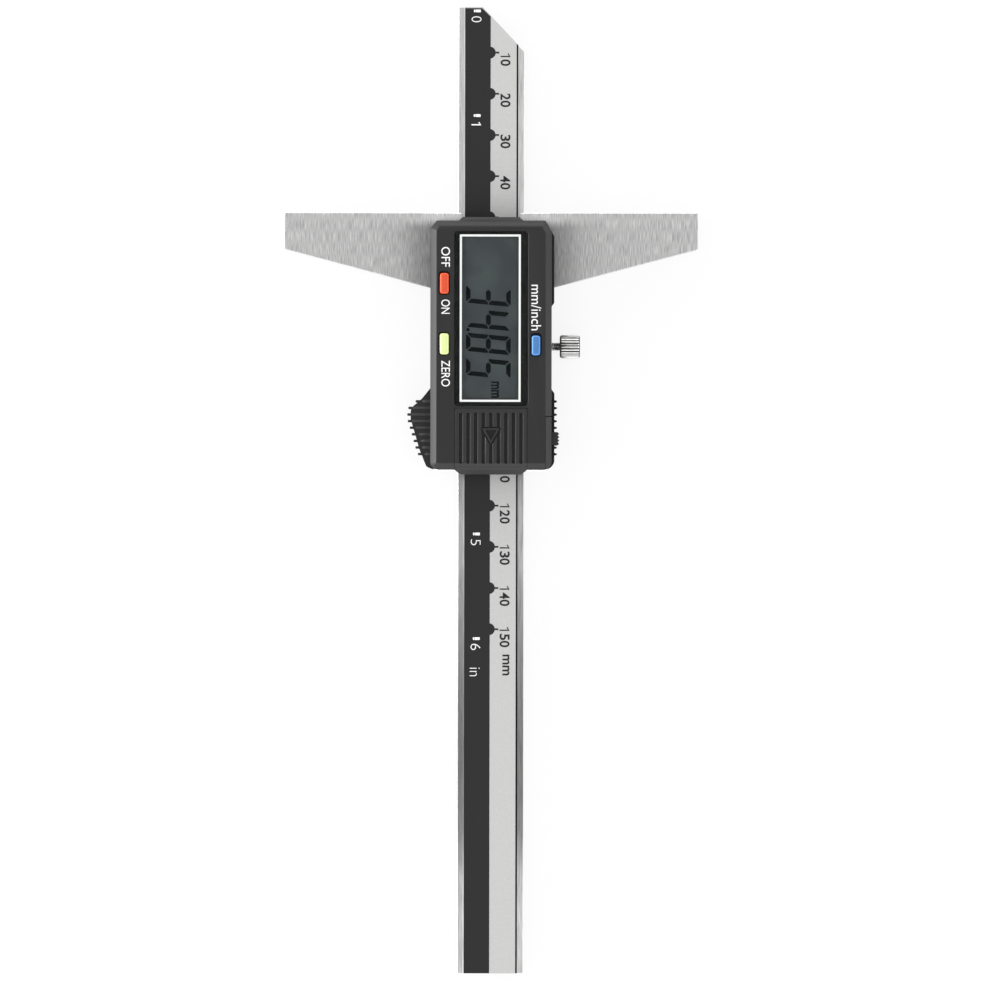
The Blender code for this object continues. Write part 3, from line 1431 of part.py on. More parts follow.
def build():
    clear_scene()
    group = new_collection("depth_gauge")
    head = [make_base_frame(), make_back_plate(), make_front_housing(), make_main_board()]
    head += make_back_plate_screws()
    head += make_gib()
    head += make_housing_screws()
    head += make_display()
    head += make_board_parts()
    head += make_battery()
    bodies = [
        ("head", (0, 0, 0), head),
        ("blade_carrier", (0, 0, BEAM_MID_Z), [make_beam()] + make_scale()),
        ("lock_screw_axis", (0, LOCK_Y, BEAM_MID_Z), [make_lock_screw()]),
        ("battery_cover_slide", (0, COVER_TOP_Y, CEILING_Z), [make_battery_cover()]),
        ("data_port_cover_slide", (HOUSING_HALF, PORT_TOP_Y, CEILING_Z), [make_data_port_cover()]),
    ]
    for name, x, y in button_places():
        bodies.append((f"{name}_axis", (x, y, CEILING_Z), [make_button(name, x, y)]))
    for name, place, pieces in bodies:
        carrier = new_carrier(name, place, group)
        for piece in pieces:
            seat(piece, carrier, group)


build()
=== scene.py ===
"""The looks of a digital depth gauge: its finishes, printed scales, display and small details.

Lengths are in metres. +X is to the right of the display, +Y towards the tip of the blade and +Z out of
the display.
"""

import math

import bpy
from mathutils import Matrix, Vector


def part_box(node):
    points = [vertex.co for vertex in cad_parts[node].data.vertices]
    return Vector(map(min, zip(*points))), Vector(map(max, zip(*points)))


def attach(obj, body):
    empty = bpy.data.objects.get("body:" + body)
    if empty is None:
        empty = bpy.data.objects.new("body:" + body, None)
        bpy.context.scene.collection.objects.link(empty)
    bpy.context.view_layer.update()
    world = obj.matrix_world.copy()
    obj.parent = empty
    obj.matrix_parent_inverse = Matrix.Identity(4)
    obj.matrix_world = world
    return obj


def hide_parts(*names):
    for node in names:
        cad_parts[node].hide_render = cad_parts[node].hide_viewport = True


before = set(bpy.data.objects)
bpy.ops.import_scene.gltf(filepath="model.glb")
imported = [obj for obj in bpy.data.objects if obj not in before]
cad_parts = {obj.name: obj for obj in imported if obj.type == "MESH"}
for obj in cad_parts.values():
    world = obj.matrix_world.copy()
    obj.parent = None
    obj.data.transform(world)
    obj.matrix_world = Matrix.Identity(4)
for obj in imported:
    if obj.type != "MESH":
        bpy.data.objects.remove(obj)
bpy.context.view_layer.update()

MM = 0.001
SOFT = 0.12 * MM
OVER = 1 * MM
ACROSS = 20 * MM
FINE_SIDES = 48
SHARP_FROM = math.radians(30)

# How an outline drawn in two axes lies when its thickness runs along the third
AXIS_TURNS = {
    "X": Matrix(((0, 0, 1), (1, 0, 0), (0, 1, 0))).to_4x4(),
    "Y": Matrix(((1, 0, 0), (0, 0, 1), (0, 1, 0))).to_4x4(),
    "Z": Matrix.Identity(4),
}


# Modelling steps

def deselect():
    bpy.ops.object.select_all(action="DESELECT")


def pick(*pieces):
    """Select pieces, the first one active."""
    deselect()
    for piece in pieces:
        piece.select_set(True)
    bpy.context.view_layer.objects.active = pieces[0]
    return pieces[0]


def point_outwards(piece):
    """Merge doubles and turn every face outwards."""
    pick(piece)
    bpy.ops.object.mode_set(mode="EDIT")
    bpy.ops.mesh.select_all(action="SELECT")
    bpy.ops.mesh.remove_doubles(threshold=0.0005 * MM)
    bpy.ops.mesh.normals_make_consistent(inside=False)
    bpy.ops.object.mode_set(mode="OBJECT")
    return piece


def around(middle, size):
    """The low and the high end of a size about its middle."""
    return (middle - size / 2, middle + size / 2)


def span(low, high):
    """Two places on an axis, given in millimetres."""
    return (low * MM, high * MM)


def in_mm(*places):
    """Corners given in millimetres: across, up and, where the corner is round, its radius."""
    return [tuple(value * MM for value in place) for place in places]


def mirrored(corners):
    """The right half of an outline, followed by its mirror image."""
    return corners + [(-corner[0], *corner[1:]) for corner in reversed(corners)]


def round_box(x, y, radius):
    """The corners of a rectangle between places on two axes, all with one radius."""
    return [(x[1], y[1], radius), (x[0], y[1], radius), (x[0], y[0], radius), (x[1], y[0], radius)]


def drawn_in(corners, inset):
    """Corners moved inwards by an inset, or outwards by a negative one, with radii that follow."""
    places = [Vector(corner[:2]) for corner in corners]
    count = len(places)
    area = sum(places[i - 1].cross(places[i]) for i in range(count))
    side = 1 if area > 0 else -1
    result = []
    for index, here in enumerate(places):
        before = (here - places[index - 1]).normalized()
        after = (places[(index + 1) % count] - here).normalized()
        first = Vector((-before.y, before.x)) * side
        last = Vector((-after.y, after.x)) * side
        place = here + (first + last) * inset / (1 + first.dot(last))
        radius = corners[index][2] if len(corners[index]) > 2 else 0
        if radius:
            convex = before.cross(after) * side > 0
            radius = max(SOFT, radius - inset if convex else radius + inset)
        result.append((place.x, place.y, radius))
    return result


def rounded(corners, steps):
    """An outline through corners of across, up and radius, each turned through an arc."""
    outline = []
    count = len(corners)
    for index, corner in enumerate(corners):
        here = Vector(corner[:2])
        radius = corner[2] if len(corner) > 2 else 0
        if radius == 0:
            outline.append((here.x, here.y))
            continue
        back = (Vector(corners[index - 1][:2]) - here).normalized()
        on = (Vector(corners[(index + 1) % count][:2]) - here).normalized()
        half = back.angle(on) / 2
        centre = here + (back + on).normalized() * radius / math.sin(half)
        first = here + back * radius / math.tan(half) - centre
        last = here + on * radius / math.tan(half) - centre
        sweep = first.angle(last)
        for step in range(steps + 1):
            early = math.sin((1 - step / steps) * sweep)
            late = math.sin(step / steps * sweep)
            point = centre + (first * early + last * late) / math.sin(sweep)
            outline.append((point.x, point.y))
    return outline


def loft(name, rings, axis="Z"):
    """A closed form through rings of points: a disc, extruded ring by ring and moved into place."""
    deselect()
    bpy.ops.mesh.primitive_circle_add(vertices=len(rings[0]), fill_type="NGON")
    piece = bpy.context.object
    piece.name = name
    order = list(range(len(rings[0])))
    for index, place in zip(order, rings[0]):
        piece.data.vertices[index].co = place
    for ring in rings[1:]:
        turns = {tuple(piece.data.vertices[index].co): turn for turn, index in enumerate(order)}
        bpy.ops.object.mode_set(mode="EDIT")
        bpy.ops.mesh.extrude_region_move()
        bpy.ops.object.mode_set(mode="OBJECT")
        for vertex in piece.data.vertices:
            if vertex.select:
                turn = turns[tuple(vertex.co)]
                order[turn] = vertex.index
                vertex.co = ring[turn]
    piece.data.transform(AXIS_TURNS[axis])
    return point_outwards(piece)


def moulded(name, corners, profile, axis="Z", steps=4):
    """A form whose outline is drawn in by each inset of a profile at that height."""
    rings = []
    for inset, height in profile:
        outline = rounded(drawn_in(corners, inset), steps)
        rings.append([(across, up, height) for across, up in outline])
    return loft(name, rings, axis)


def plate(name, corners, low, high, axis="Z", steps=4):
    """An outline with straight walls between two heights."""
    return moulded(name, corners, ((0, low), (0, high)), axis, steps)


def soft_top(low, high, radius, steps=3):
    """The profile of a plate with a rounded upper edge."""
    turns = [math.pi / 2 * step / steps for step in range(steps + 1)]
    return [(0, low)] + [(radius * (1 - math.cos(a)), high + radius * (math.sin(a) - 1)) for a in turns]


def soft_ends(low, high, radius, steps=3):
    """The profile of a plate with both edges rounded."""
    top = soft_top(low, high, radius, steps)[1:]
    return [(inset, low + high - height) for inset, height in reversed(top)] + top


def flared(low, high, radius, above):
    """The profile of a cutter that leaves a rounded rim round the hole it makes."""
    rim = soft_top(low, high, radius)
    return [(-inset, height) for inset, height in rim] + [(-radius, above)]


def set_down(name):
    """The form just added, named and with its place applied to its mesh."""
    piece = bpy.context.object
    piece.name = name
    bpy.ops.object.transform_apply(location=True, rotation=True, scale=True)
    return piece


def block(name, x, y, z):
    """A cube drawn out between a low and a high place on each axis."""
    deselect()
    middle = [(low + high) / 2 for low, high in (x, y, z)]
    size = [high - low for low, high in (x, y, z)]
    bpy.ops.mesh.primitive_cube_add(size=1, location=middle, scale=size)
    return set_down(name)


def bar(name, radius, start, end, sides=32):
    """A round bar from one point to another."""
    start = Vector(start)
    along = Vector(end) - start
    turn = along.to_track_quat("Z", "Y").to_euler()
    deselect()
    bpy.ops.mesh.primitive_cylinder_add(
        vertices=sides, radius=radius, depth=along.length, location=start + along / 2, rotation=turn
    )
    return set_down(name)


def post(name, radius, place, low, high, sides=32):
    """A round bar that stands between two heights."""
    return bar(name, radius, (*place, low), (*place, high), sides)


def copy_of(piece, name):
    """A copy of a piece with a mesh of its own."""
    deselect()
    twin = bpy.data.objects.new(name, piece.data.copy())
    bpy.context.scene.collection.objects.link(twin)
    return twin


def merged_node(node, name):
    """A merged copy of a CAD node, to cut, without the shading that came with the node."""
    twin = copy_of(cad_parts[node], name)
    pick(twin)
    bpy.ops.mesh.customdata_custom_splitnormals_clear()
    return point_outwards(twin)


def node_middle(name):
    """The middle of a CAD node on X and Y."""
    low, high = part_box(name)
    return (low.x + high.x) / 2, (low.y + high.y) / 2


def combine(piece, tools, operation):
    """Cut or weld a piece with tools, which are used up."""
    for tool in tools:
        step = piece.modifiers.new(tool.name, "BOOLEAN")
        step.operation = operation
        step.solver = "EXACT"
        step.object = tool
    pick(piece)
    for step in list(piece.modifiers):
        bpy.ops.object.modifier_apply(modifier=step.name)
    for tool in tools:
        bpy.data.objects.remove(tool)
    return piece


def cut(piece, *tools):
    return combine(piece, tools, "DIFFERENCE")


def weld(piece, *tools):
    return combine(piece, tools, "UNION")


def keep_common(piece, *tools):
    return combine(piece, tools, "INTERSECT")


def merge(pieces, name):
    """Several separate meshes as one piece."""
    pick(*pieces)
    if len(pieces) > 1:
        bpy.ops.object.join()
    pieces[0].name = name
    return pieces[0]


# Finishes

def new_finish(name, colour, roughness, metallic=0.0, gloss=0.5):
    """A material whose plain values sit on its shader."""
    material = bpy.data.materials.new(name)
    material.use_nodes = True
    inputs = shader_of(material).inputs
    inputs["Base Color"].default_value = (*colour, 1)
    inputs["Roughness"].default_value = roughness
    inputs["Metallic"].default_value = metallic
    inputs["Specular IOR Level"].default_value = gloss
    return material


def shader_of(material):
    return material.node_tree.nodes["Principled BSDF"]


def add(owner, kind, output, sources=(), values=(), **settings):
    """One output of a new shader node, made from settings, plain values and what feeds its inputs."""
    node = owner.node_tree.nodes.new("ShaderNode" + kind)
    for setting, choice in settings.items():
        setattr(node, setting, choice)
    for socket, value in dict(values).items():
        node.inputs[socket].default_value = value
    for socket, source in dict(sources).items():
        owner.node_tree.links.new(source, node.inputs[socket])
    return node.outputs[output]


def run(owner, source, low, high, to_low=0.0, to_high=1.0, way="SMOOTHSTEP"):
    """A value that runs from one strength to another between two values of a source."""
    reach = {"From Min": low, "From Max": high, "To Min": to_low, "To Max": to_high}
    return add(owner, "MapRange", "Result", {"Value": source}, reach, interpolation_type=way)


def feed(material, socket, source):
    """Let a pattern run one input of a material's shader."""
    material.node_tree.links.new(source, shader_of(material).inputs[socket])


def place_along(material, axis):
    """How far along one axis a point of a piece is, in metres."""
    return add(material, "SeparateXYZ", axis, {"Vector": add(material, "TexCoord", "Object")})


def from_middle(material):
    """How far to either side of the blade's middle a point of a piece is."""
    return add(material, "Math", "Value", {0: place_along(material, "X")}, operation="ABSOLUTE")


def from_axis(material, y, z):
    """How far a point of a piece is from a line along X."""
    flatten = {"Location": (0, -y, -z), "Scale": (0, 1, 1)}
    place = add(material, "TexCoord", "Object")
    flat = add(material, "Mapping", "Vector", {"Vector": place}, flatten)
    return add(material, "VectorMath", "Value", {0: flat}, operation="LENGTH")


def grain_noise(material, size, stretch=(1, 1, 1), detail=3.0):
    """A noise pattern of grains of a size, drawn out along an axis by a small stretch value there."""
    place = add(material, "TexCoord", "Object")
    drawn_out = add(material, "Mapping", "Vector", {"Vector": place}, {"Scale": stretch})
    return add(material, "TexNoise", "Fac", {"Vector": drawn_out}, {"Scale": 1 / size, "Detail": detail})


def tint(material, pattern, dark, light):
    """Let a pattern run the colour between a dark and a light tone."""
    colour = add(material, "ValToRGB", "Color", {"Fac": pattern})
    for element, place, tone in zip(colour.node.color_ramp.elements, (0.35, 0.65), (dark, light)):
        element.position = place
        element.color = (*tone, 1)
    feed(material, "Base Color", colour)


def scale_colour(material, pattern):
    """Multiply what feeds a material's colour by a pattern."""
    source = shader_of(material).inputs["Base Color"].links[0].from_socket
    scaled = add(material, "VectorMath", "Vector", {0: source, 1: pattern}, operation="MULTIPLY")
    feed(material, "Base Color", scaled)


def spread(material, source, stops):
    """A value that runs through stops along a source: the place in millimetres and the share there.

    A colour ramp holds nothing above 1, so it holds half of each share and is doubled.
    """
    first = stops[0][0]
    last = stops[-1][0]
    reach = run(material, source, first * MM, last * MM, way="LINEAR")
    halves = add(material, "ValToRGB", "Color", {"Fac": reach})
    elements = halves.node.color_ramp.elements
    while len(elements) < len(stops):
        elements.new(0.5)
    for element, (place, share) in zip(elements, stops):
        element.position = (place - first) / (last - first)
        element.color = (share / 2, share / 2, share / 2, 1)
    return add(material, "VectorMath", "Vector", {0: halves}, {"Scale": 2}, operation="SCALE")


def past(material, axis, low, high, pattern):
    """A pattern that fades in between two places on an axis, from 1 before them."""
    sources = {"Factor": run(material, place_along(material, axis), low, high), "B": pattern}
    return add(material, "Mix", "Result", sources, {"A": (1, 1, 1)}, data_type="VECTOR")


def vary_roughness(material, pattern, low, high):
    """Let a pattern run the roughness between a low and a high value."""
    feed(material, "Roughness", run(material, pattern, 0.3, 0.7, low, high, "LINEAR"))


def bump(material, pattern, depth, strength):
    """Raise the surface by a pattern, over a real depth."""
    relief = {"Strength": strength, "Distance": depth}
    feed(material, "Normal", add(material, "Bump", "Normal", {"Height": pattern}, relief))


def grey(level, warm=0.0):
    return (level * (1 + warm), level, level * (1 - warm))


def brushed_steel(name, dark, light, grain, roughness, stretch=(1, 0.08, 1)):
    """Ground steel: fine streaks along the gauge, some brighter and some duller than the rest."""
    material = new_finish(name, grey((dark + light) / 2), roughness, 1.0)
    streaks = grain_noise(material, grain, stretch, 4.0)
    tint(material, streaks, grey(dark), grey(light, 0.005))
    vary_roughness(material, streaks, roughness - 0.08, roughness + 0.08)
    bump(material, streaks, 0.006 * MM, 0.35)
    return material


def moulded_plastic(name, colour, roughness, gloss=0.5):
    """Moulded plastic with the fine even grain of an eroded mould."""
    material = new_finish(name, colour, roughness, gloss=gloss)
    shader_of(material).inputs["IOR"].default_value = 1.45
    speckle = grain_noise(material, 0.12 * MM, detail=2.0)
    tint(material, speckle, [c * 0.88 for c in colour], [c * 1.12 for c in colour])
    bump(material, speckle, 0.006 * MM, 0.3)
    return material


def plated(name, colour, roughness, dull, clear, cloud):
    """Plating that clouds between a dull and a clear tone, with clouds of a size in millimetres."""
    material = new_finish(name, colour, roughness, 1.0)
    tint(material, grain_noise(material, cloud * MM), dull, clear)
    return material


def printed(name, colour, roughness=0.5, gloss=0.5):
    """Printing ink, with a little unevenness of its cover."""
    material = new_finish(name, colour, roughness, gloss=gloss)
    cover = grain_noise(material, 0.25 * MM, detail=2.0)
    tint(material, cover, [c * 0.95 for c in colour], [min(1.0, c * 1.03) for c in colour])
    return material


base_steel = brushed_steel("base_steel", 0.45, 0.72, 0.15 * MM, 0.42, (1, 0.05, 1))
blade_steel = brushed_steel("blade_steel", 0.62, 0.80, 0.16 * MM, 0.36, (1, 0.03, 1))
screw_steel = brushed_steel("screw_steel", 0.34, 0.44, 0.2 * MM, 0.34, (1, 1, 1))
spring_bronze = brushed_steel("spring_bronze", 0.36, 0.44, 0.2 * MM, 0.34)
plated_brass = plated("nickel_plate", (0.74, 0.73, 0.71), 0.2, (0.68, 0.67, 0.65), (0.80, 0.79, 0.77), 0.4)
knob_plate = plated("knob_plate", (0.68, 0.68, 0.67), 0.16, (0.64, 0.64, 0.63), (0.72, 0.72, 0.71), 0.4)
gold_plate = plated("gold_plate", (0.80, 0.58, 0.22), 0.25, (0.72, 0.5, 0.17), (0.85, 0.64, 0.27), 0.3)
housing_plastic = moulded_plastic("housing_plastic", (0.010, 0.010, 0.0107), 0.44)
cover_plastic = moulded_plastic("cover_plastic", (0.014, 0.014, 0.0147), 0.44)
# A darker, less glossy copy of the black plastic: painted shade on the grip's body and the side bands
painted_shade_plastic = moulded_plastic("painted_shade_plastic", (0.009, 0.009, 0.0095), 0.55, 0.22)
rib_plastic = moulded_plastic("rib_plastic", (0.014, 0.014, 0.0145), 0.55, 0.35)
holder_plastic = moulded_plastic("holder_plastic", (0.05, 0.05, 0.052), 0.5)
rubber = moulded_plastic("connector_rubber", (0.06, 0.06, 0.065), 0.8)
epoxy = moulded_plastic("chip_epoxy", (0.010, 0.010, 0.012), 0.25)
board_green = printed("board_green", (0.02, 0.12, 0.05), 0.4)
label_grey = printed("label_grey", (0.47, 0.47, 0.466), 0.5)
ink_black = printed("ink_black", (0.016, 0.016, 0.017), 0.45, 0.25)
ink_white = printed("ink_white", (0.86, 0.86, 0.85), 0.5)
frame_white = printed("frame_white", (0.74, 0.76, 0.75), 0.5)
border_black = printed("border_black", (0.016, 0.016, 0.016), 0.4, 0.12)
segment_black = printed("segment_black", (0.006, 0.009, 0.010), 0.4, 0.05)
display_grey = new_finish("display_grey", (0.060, 0.074, 0.078), 0.3)
clouds = grain_noise(display_grey, 7 * MM, detail=1.0)
tint(display_grey, clouds, (0.050, 0.062, 0.068), (0.072, 0.089, 0.090))
orange = moulded_plastic("orange_plastic", (0.61, 0.070, 0.021), 0.35)
lime = moulded_plastic("lime_plastic", (0.64, 0.74, 0.32), 0.35)
blue = moulded_plastic("blue_plastic", (0.057, 0.175, 0.43), 0.35)

clear_plastic = new_finish("clear_plastic", (0.97, 0.98, 0.98), 0.03)
shader_of(clear_plastic).inputs["Transmission Weight"].default_value = 1.0
shader_of(clear_plastic).inputs["IOR"].default_value = 1.30
vary_roughness(clear_plastic, grain_noise(clear_plastic, 4 * MM), 0.02, 0.05)


# Painted shade darkens the base beside the head, painted light brightens its upper end beside the head, and
# a painted highlight lies on the chamfer of its foot, with a thin painted shadow line along its lowest edge
BASE_PAINTED_SHADE = ((13.4, 0.8), (14.6, 0.6), (17, 0.58), (18.5, 0.62), (22, 0.84), (28, 0.95), (45, 0.98))
BASE_PAINTED_LIGHT = ((13.4, 1.8), (14.6, 2.0), (15.9, 2.0), (18.3, 1.7), (21.7, 1.2), (28, 1.05), (45, 1.02))
BASE_FOOT_LIGHT_AND_SHADE = ((4.5, 0.8), (4.6, 0.8), (4.64, 2.4), (5.05, 2.4), (5.1, 1.0))
# Painted shade on the base beside the head
scale_colour(base_steel, spread(base_steel, from_middle(base_steel), BASE_PAINTED_SHADE))
# Painted light on the base's upper end, beside the head
painted_light = spread(base_steel, from_middle(base_steel), BASE_PAINTED_LIGHT)
scale_colour(base_steel, past(base_steel, "Y", 63.4 * MM, 66.2 * MM, painted_light))
# Painted highlight on the foot's chamfer, with a painted shadow line along its lowest edge
scale_colour(base_steel, spread(base_steel, place_along(base_steel, "Y"), BASE_FOOT_LIGHT_AND_SHADE))

# The front of the blade: a painted highlight on the edge beside the label's recess, painted shade in that
# recess, and painted shade along it where its reflection dims
BLADE_EDGE_LIGHT_AND_SHADE = ((-6.78, 0.96), (-6.70, 1.22), (-6.40, 1.22), (-6.36, 0.03), (6.5, 0.03), (6.56, 1.03))
BLADE_REFLECTION_SHADE = (
    (-117, 0.95), (-104, 1.0), (-95, 0.87), (-90, 0.68), (-82, 0.42), (-75, 0.37), (-61, 0.33), (-51, 0.38),
    (-36, 0.47), (-27, 0.56), (-17, 0.70), (-7, 0.72), (4.35, 0.55), (66, 0.93), (118, 0.93),
)
for axis, stops in (("X", BLADE_EDGE_LIGHT_AND_SHADE), ("Y", BLADE_REFLECTION_SHADE)):
    # Painted highlight and shade across the blade and painted shade of its reflection along it, on its
    # front only
    marks = spread(blade_steel, place_along(blade_steel, axis), stops)
    scale_colour(blade_steel, past(blade_steel, "Z", 3.9 * MM, 4.1 * MM, marks))

# Painted shade darkens the floors of the battery cover's grooves
GROOVE_FLOOR_SHADE = ((12.4, 1.0), (12.95, 1.0), (13.0, 0.5), (13.15, 0.5), (13.5, 1.0))
scale_colour(cover_plastic, spread(cover_plastic, place_along(cover_plastic, "Z"), GROOVE_FLOOR_SHADE))

# Painted shade blackens the floors of the knob's flutes
KNOB_FLUTE_SHADE = ((2.50, 0.03), (2.60, 0.08), (2.68, 1.0))
LOCK_Y = 34.9 * MM
BLADE_MID_Z = 3.15 * MM
scale_colour(knob_plate, spread(knob_plate, from_axis(knob_plate, LOCK_Y, BLADE_MID_Z), KNOB_FLUTE_SHADE))

# The buttons stand in the dark, with light catching their rims
for cap_plastic, rim in ((orange, 1.35), (lime, 1.2), (blue, 1.7)):
    cap_depth = ((12.2, 0.06), (13.2, 0.25), (13.7, 0.7), (13.95, rim), (14.4, rim), (14.49, 1.0))
    scale_colour(cap_plastic, spread(cap_plastic, place_along(cap_plastic, "Z"), cap_depth))


# The CAD nodes of each finish, by the start of their names; the longest match holds
NODE_FINISHES = (
    (base_steel, "base_frame back_plate"),
    (blade_steel, "beam"),
    (screw_steel, "back_plate_screw housing_screw board_screw gib_screw"),
    (spring_bronze, "gib_strip"),
    (plated_brass, "lock_screw battery_cell battery_contact switch_dome"),
    (gold_plate, "data_contact"),
    (housing_plastic, "front_housing data_port_cover"),
    (cover_plastic, "battery_cover"),
    (holder_plastic, "lcd_holder"),
    (rubber, "zebra_strip"),
    (epoxy, "chip_blob"),
    (board_green, "main_board reader_plate scale_board"),
    (label_grey, "scale_label"),
    (clear_plastic, "display_lens"),
    (display_grey, "lcd_panel"),
    (orange, "on_off_button"),
    (lime, "zero_button"),
    (blue, "unit_button"),
)


def dress(piece, material):
    piece.data.materials.clear()
    piece.data.materials.append(material)


def dress_nodes():
    finish_of = {start: material for material, starts in NODE_FINISHES for start in starts.split()}
    for name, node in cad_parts.items():
        starts = [start for start in finish_of if name.startswith(start)]
        dress(node, finish_of[max(starts, key=len)])


def finish(piece, body, slot, material, *replaced):
    """Dress a piece, smooth its soft edges and hand it to the body that it moves with."""
    dress(piece, material)
    pick(piece)
    bpy.ops.object.shade_smooth_by_angle(angle=SHARP_FROM)
    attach(piece, body)
    if replaced:
        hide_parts(*replaced)


# Lettering

def lettering(words, x, y, z, thickness=0.02 * MM, bold=0.0):
    """Words that read downwards, fitted between two places on X and Y and lying at a height."""
    deselect()
    bpy.ops.object.text_add()
    text = bpy.context.object
    text.data.body = words
    text.data.extrude = 0.5
    text.data.resolution_u = 6
    text.data.offset = bold
    bpy.ops.object.convert(target="MESH")
    piece = bpy.context.object
    piece.data.transform(Matrix.Rotation(-math.pi / 2, 4, "Z"))
    corners = [vertex.co.copy() for vertex in piece.data.vertices]
    low = Vector([min(c[i] for c in corners) for i in range(3)])
    high = Vector([max(c[i] for c in corners) for i in range(3)])
    size = Vector((x[1] - x[0], y[1] - y[0], thickness))
    scale = Vector([size[i] / (high[i] - low[i]) for i in range(3)])
    for vertex in piece.data.vertices:
        vertex.co = [(x[0], y[0], z)[i] + (vertex.co[i] - low[i]) * scale[i] for i in range(3)]
    return point_outwards(piece)


def digit_one(x, y, z):
    """The digit 1 with its flag, which reads downwards."""
    stem = 0.3 * MM
    outline = [
        (x[0], y[0]), (x[1], y[0]), (x[1] - 0.50 * MM, y[1]), (x[1] - 0.72 * MM, y[1] - 0.12 * MM),
        (x[1] - 0.42 * MM, y[0] + stem), (x[0], y[0] + stem),
    ]
    return plate("one", outline, z, z + INK)


def number(words, x, y, z, bold):
    """A number that reads downwards, each digit in a room of its own."""
    gap = 0.16 * MM
    pitch = (y[1] - y[0] + gap) / len(words)
    digits = []
    for place, digit in enumerate(words):
        high = y[1] - place * pitch
        if digit == "1":
            low = high - (1.17 if len(words) == 2 else 1.02) * MM
            digits.append(digit_one(x, (low, low + 0.95 * MM), z))
        else:
            digits.append(lettering(digit, x, (high - pitch + gap, high), z, bold=bold))
    return digits


# Scales on the blade

LABEL_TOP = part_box("scale_label")[1].z
TIP_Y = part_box("beam")[1].y
LOW_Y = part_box("beam")[0].y
INK = 0.02 * MM
ZERO_Y = 116.26 * MM
BORDER_X = -0.20 * MM
BLACK_LEFT_X = -6.38 * MM
TICK_END_X = 1.87 * MM
TICK_HALF = 0.21 * MM
BUMP_RADIUS = 1.45 * MM
BUMP_REACH = 1.22 * MM
BUMP_STEPS = 10
NUMBER_X = span(2.20, 4.62)
INCH_X = span(-4.83, -2.45)
INCH = 25.4 * MM
TIP_SLOPE = 10.8 / 10.1

# How far below its mark each inch numeral starts and ends, in millimetres
INCH_DIGITS = ((1.20, 2.62), (1.43, 2.27), (1.2, 2.6), (1.2, 2.6), (1.2, 2.6), (1.18, 2.6), (1.15, 2.65))


def scale_border():
    """The edge between the black and the grey side, with a bump and a tick at each centimetre."""
    centre_x = BORDER_X + BUMP_REACH - BUMP_RADIUS
    half_angle = math.acos((BORDER_X - centre_x) / BUMP_RADIUS)
    tick_angle = math.asin(TICK_HALF / BUMP_RADIUS)
    edge = []
    for centimetre in range(1, 16):
        y = ZERO_Y - centimetre * 10 * MM
        upper = []
        for step in range(BUMP_STEPS + 1):
            angle = half_angle + (tick_angle - half_angle) * step / BUMP_STEPS
            upper.append((centre_x + BUMP_RADIUS * math.cos(angle), BUMP_RADIUS * math.sin(angle)))
        upper.append((TICK_END_X, TICK_HALF))
        edge += [(x, y + up) for x, up in upper]
        edge += [(x, y - up) for x, up in reversed(upper)]
    return edge


def make_scale_prints():
    """The black side, the numbers of both scales, and the dark right edge of the label."""
    tip_flat = -2.1 * MM
    tip_y = TIP_Y - 0.25 * MM
    outline = [(BLACK_LEFT_X, LOW_Y), (BLACK_LEFT_X, tip_y), (tip_flat - 0.2 * MM, tip_y)]
    outline.append((BORDER_X, TIP_Y - TIP_SLOPE * (BORDER_X - tip_flat) - 0.25 * MM))
    outline += scale_border()
    outline.append((BORDER_X, LOW_Y))
    black = plate("inch_side_print", outline, LABEL_TOP, LABEL_TOP + INK)
    finish(black, "blade", "label_film", ink_black)

    numbers = []
    for centimetre in range(1, 16):
        words = str(centimetre * 10)
        tick_y = ZERO_Y - centimetre * 10 * MM
        above, below = (0.08, 3.22) if len(words) == 2 else (0.62, 4.36)
        y = (tick_y - below * MM, tick_y + above * MM)
        numbers += number(words, NUMBER_X, y, LABEL_TOP, 0.02)
    numbers.append(lettering("mm", span(2.90, 4.60), span(-44.95, -39.9), LABEL_TOP, bold=0.02))
    finish(merge(numbers, "millimetre_numbers"), "blade", "label_film", ink_black)

    edge = round_box((6.12 * MM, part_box("scale_label")[1].x), (LOW_Y, TIP_Y - 8.9 * MM), 0)
    finish(plate("label_edge", edge, LABEL_TOP, LABEL_TOP + INK), "blade", "label_film", ink_black)

    marks = []
    top = LABEL_TOP + INK
    for inch, (near, far) in enumerate(INCH_DIGITS):
        y = ZERO_Y - inch * INCH
        for x in ((-4.28, -3.90), (-3.83, -2.61)):
            square = round_box(span(*x), around(y + 0.12 * MM, 0.66 * MM), 0.04 * MM)
            marks.append(plate("mark", square, top, top + INK, steps=2))
        room = (y - far * MM, y - near * MM)
        if inch == 1:
            marks.append(digit_one(INCH_X, room, top))
        else:
            marks.append(lettering(str(inch), INCH_X, room, top, bold=-0.018))
    marks.append(lettering("in", span(-5.05, -2.6), span(-45.13, -43.1), top, bold=-0.018))
    finish(merge(marks, "inch_numbers"), "blade", "label_film", ink_white)


# Display

LENS_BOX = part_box("display_lens")
LCD_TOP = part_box("lcd_panel")[1].z
DISPLAY_Y = (LENS_BOX[0].y + LENS_BOX[1].y) / 2
DIGIT_X = span(-6.06, 4.77)
DIGIT_WIDTH = 4.45 * MM
DIGIT_SLANT = 0.095

# The lit segments of the digits 3, 4, 8 and 5, and where each digit starts on Y, in millimetres
DIGITS = (("abcdg", 49.91), ("bcfg", 44.05), ("abcdefg", 38.20), ("acdfg", 32.34))


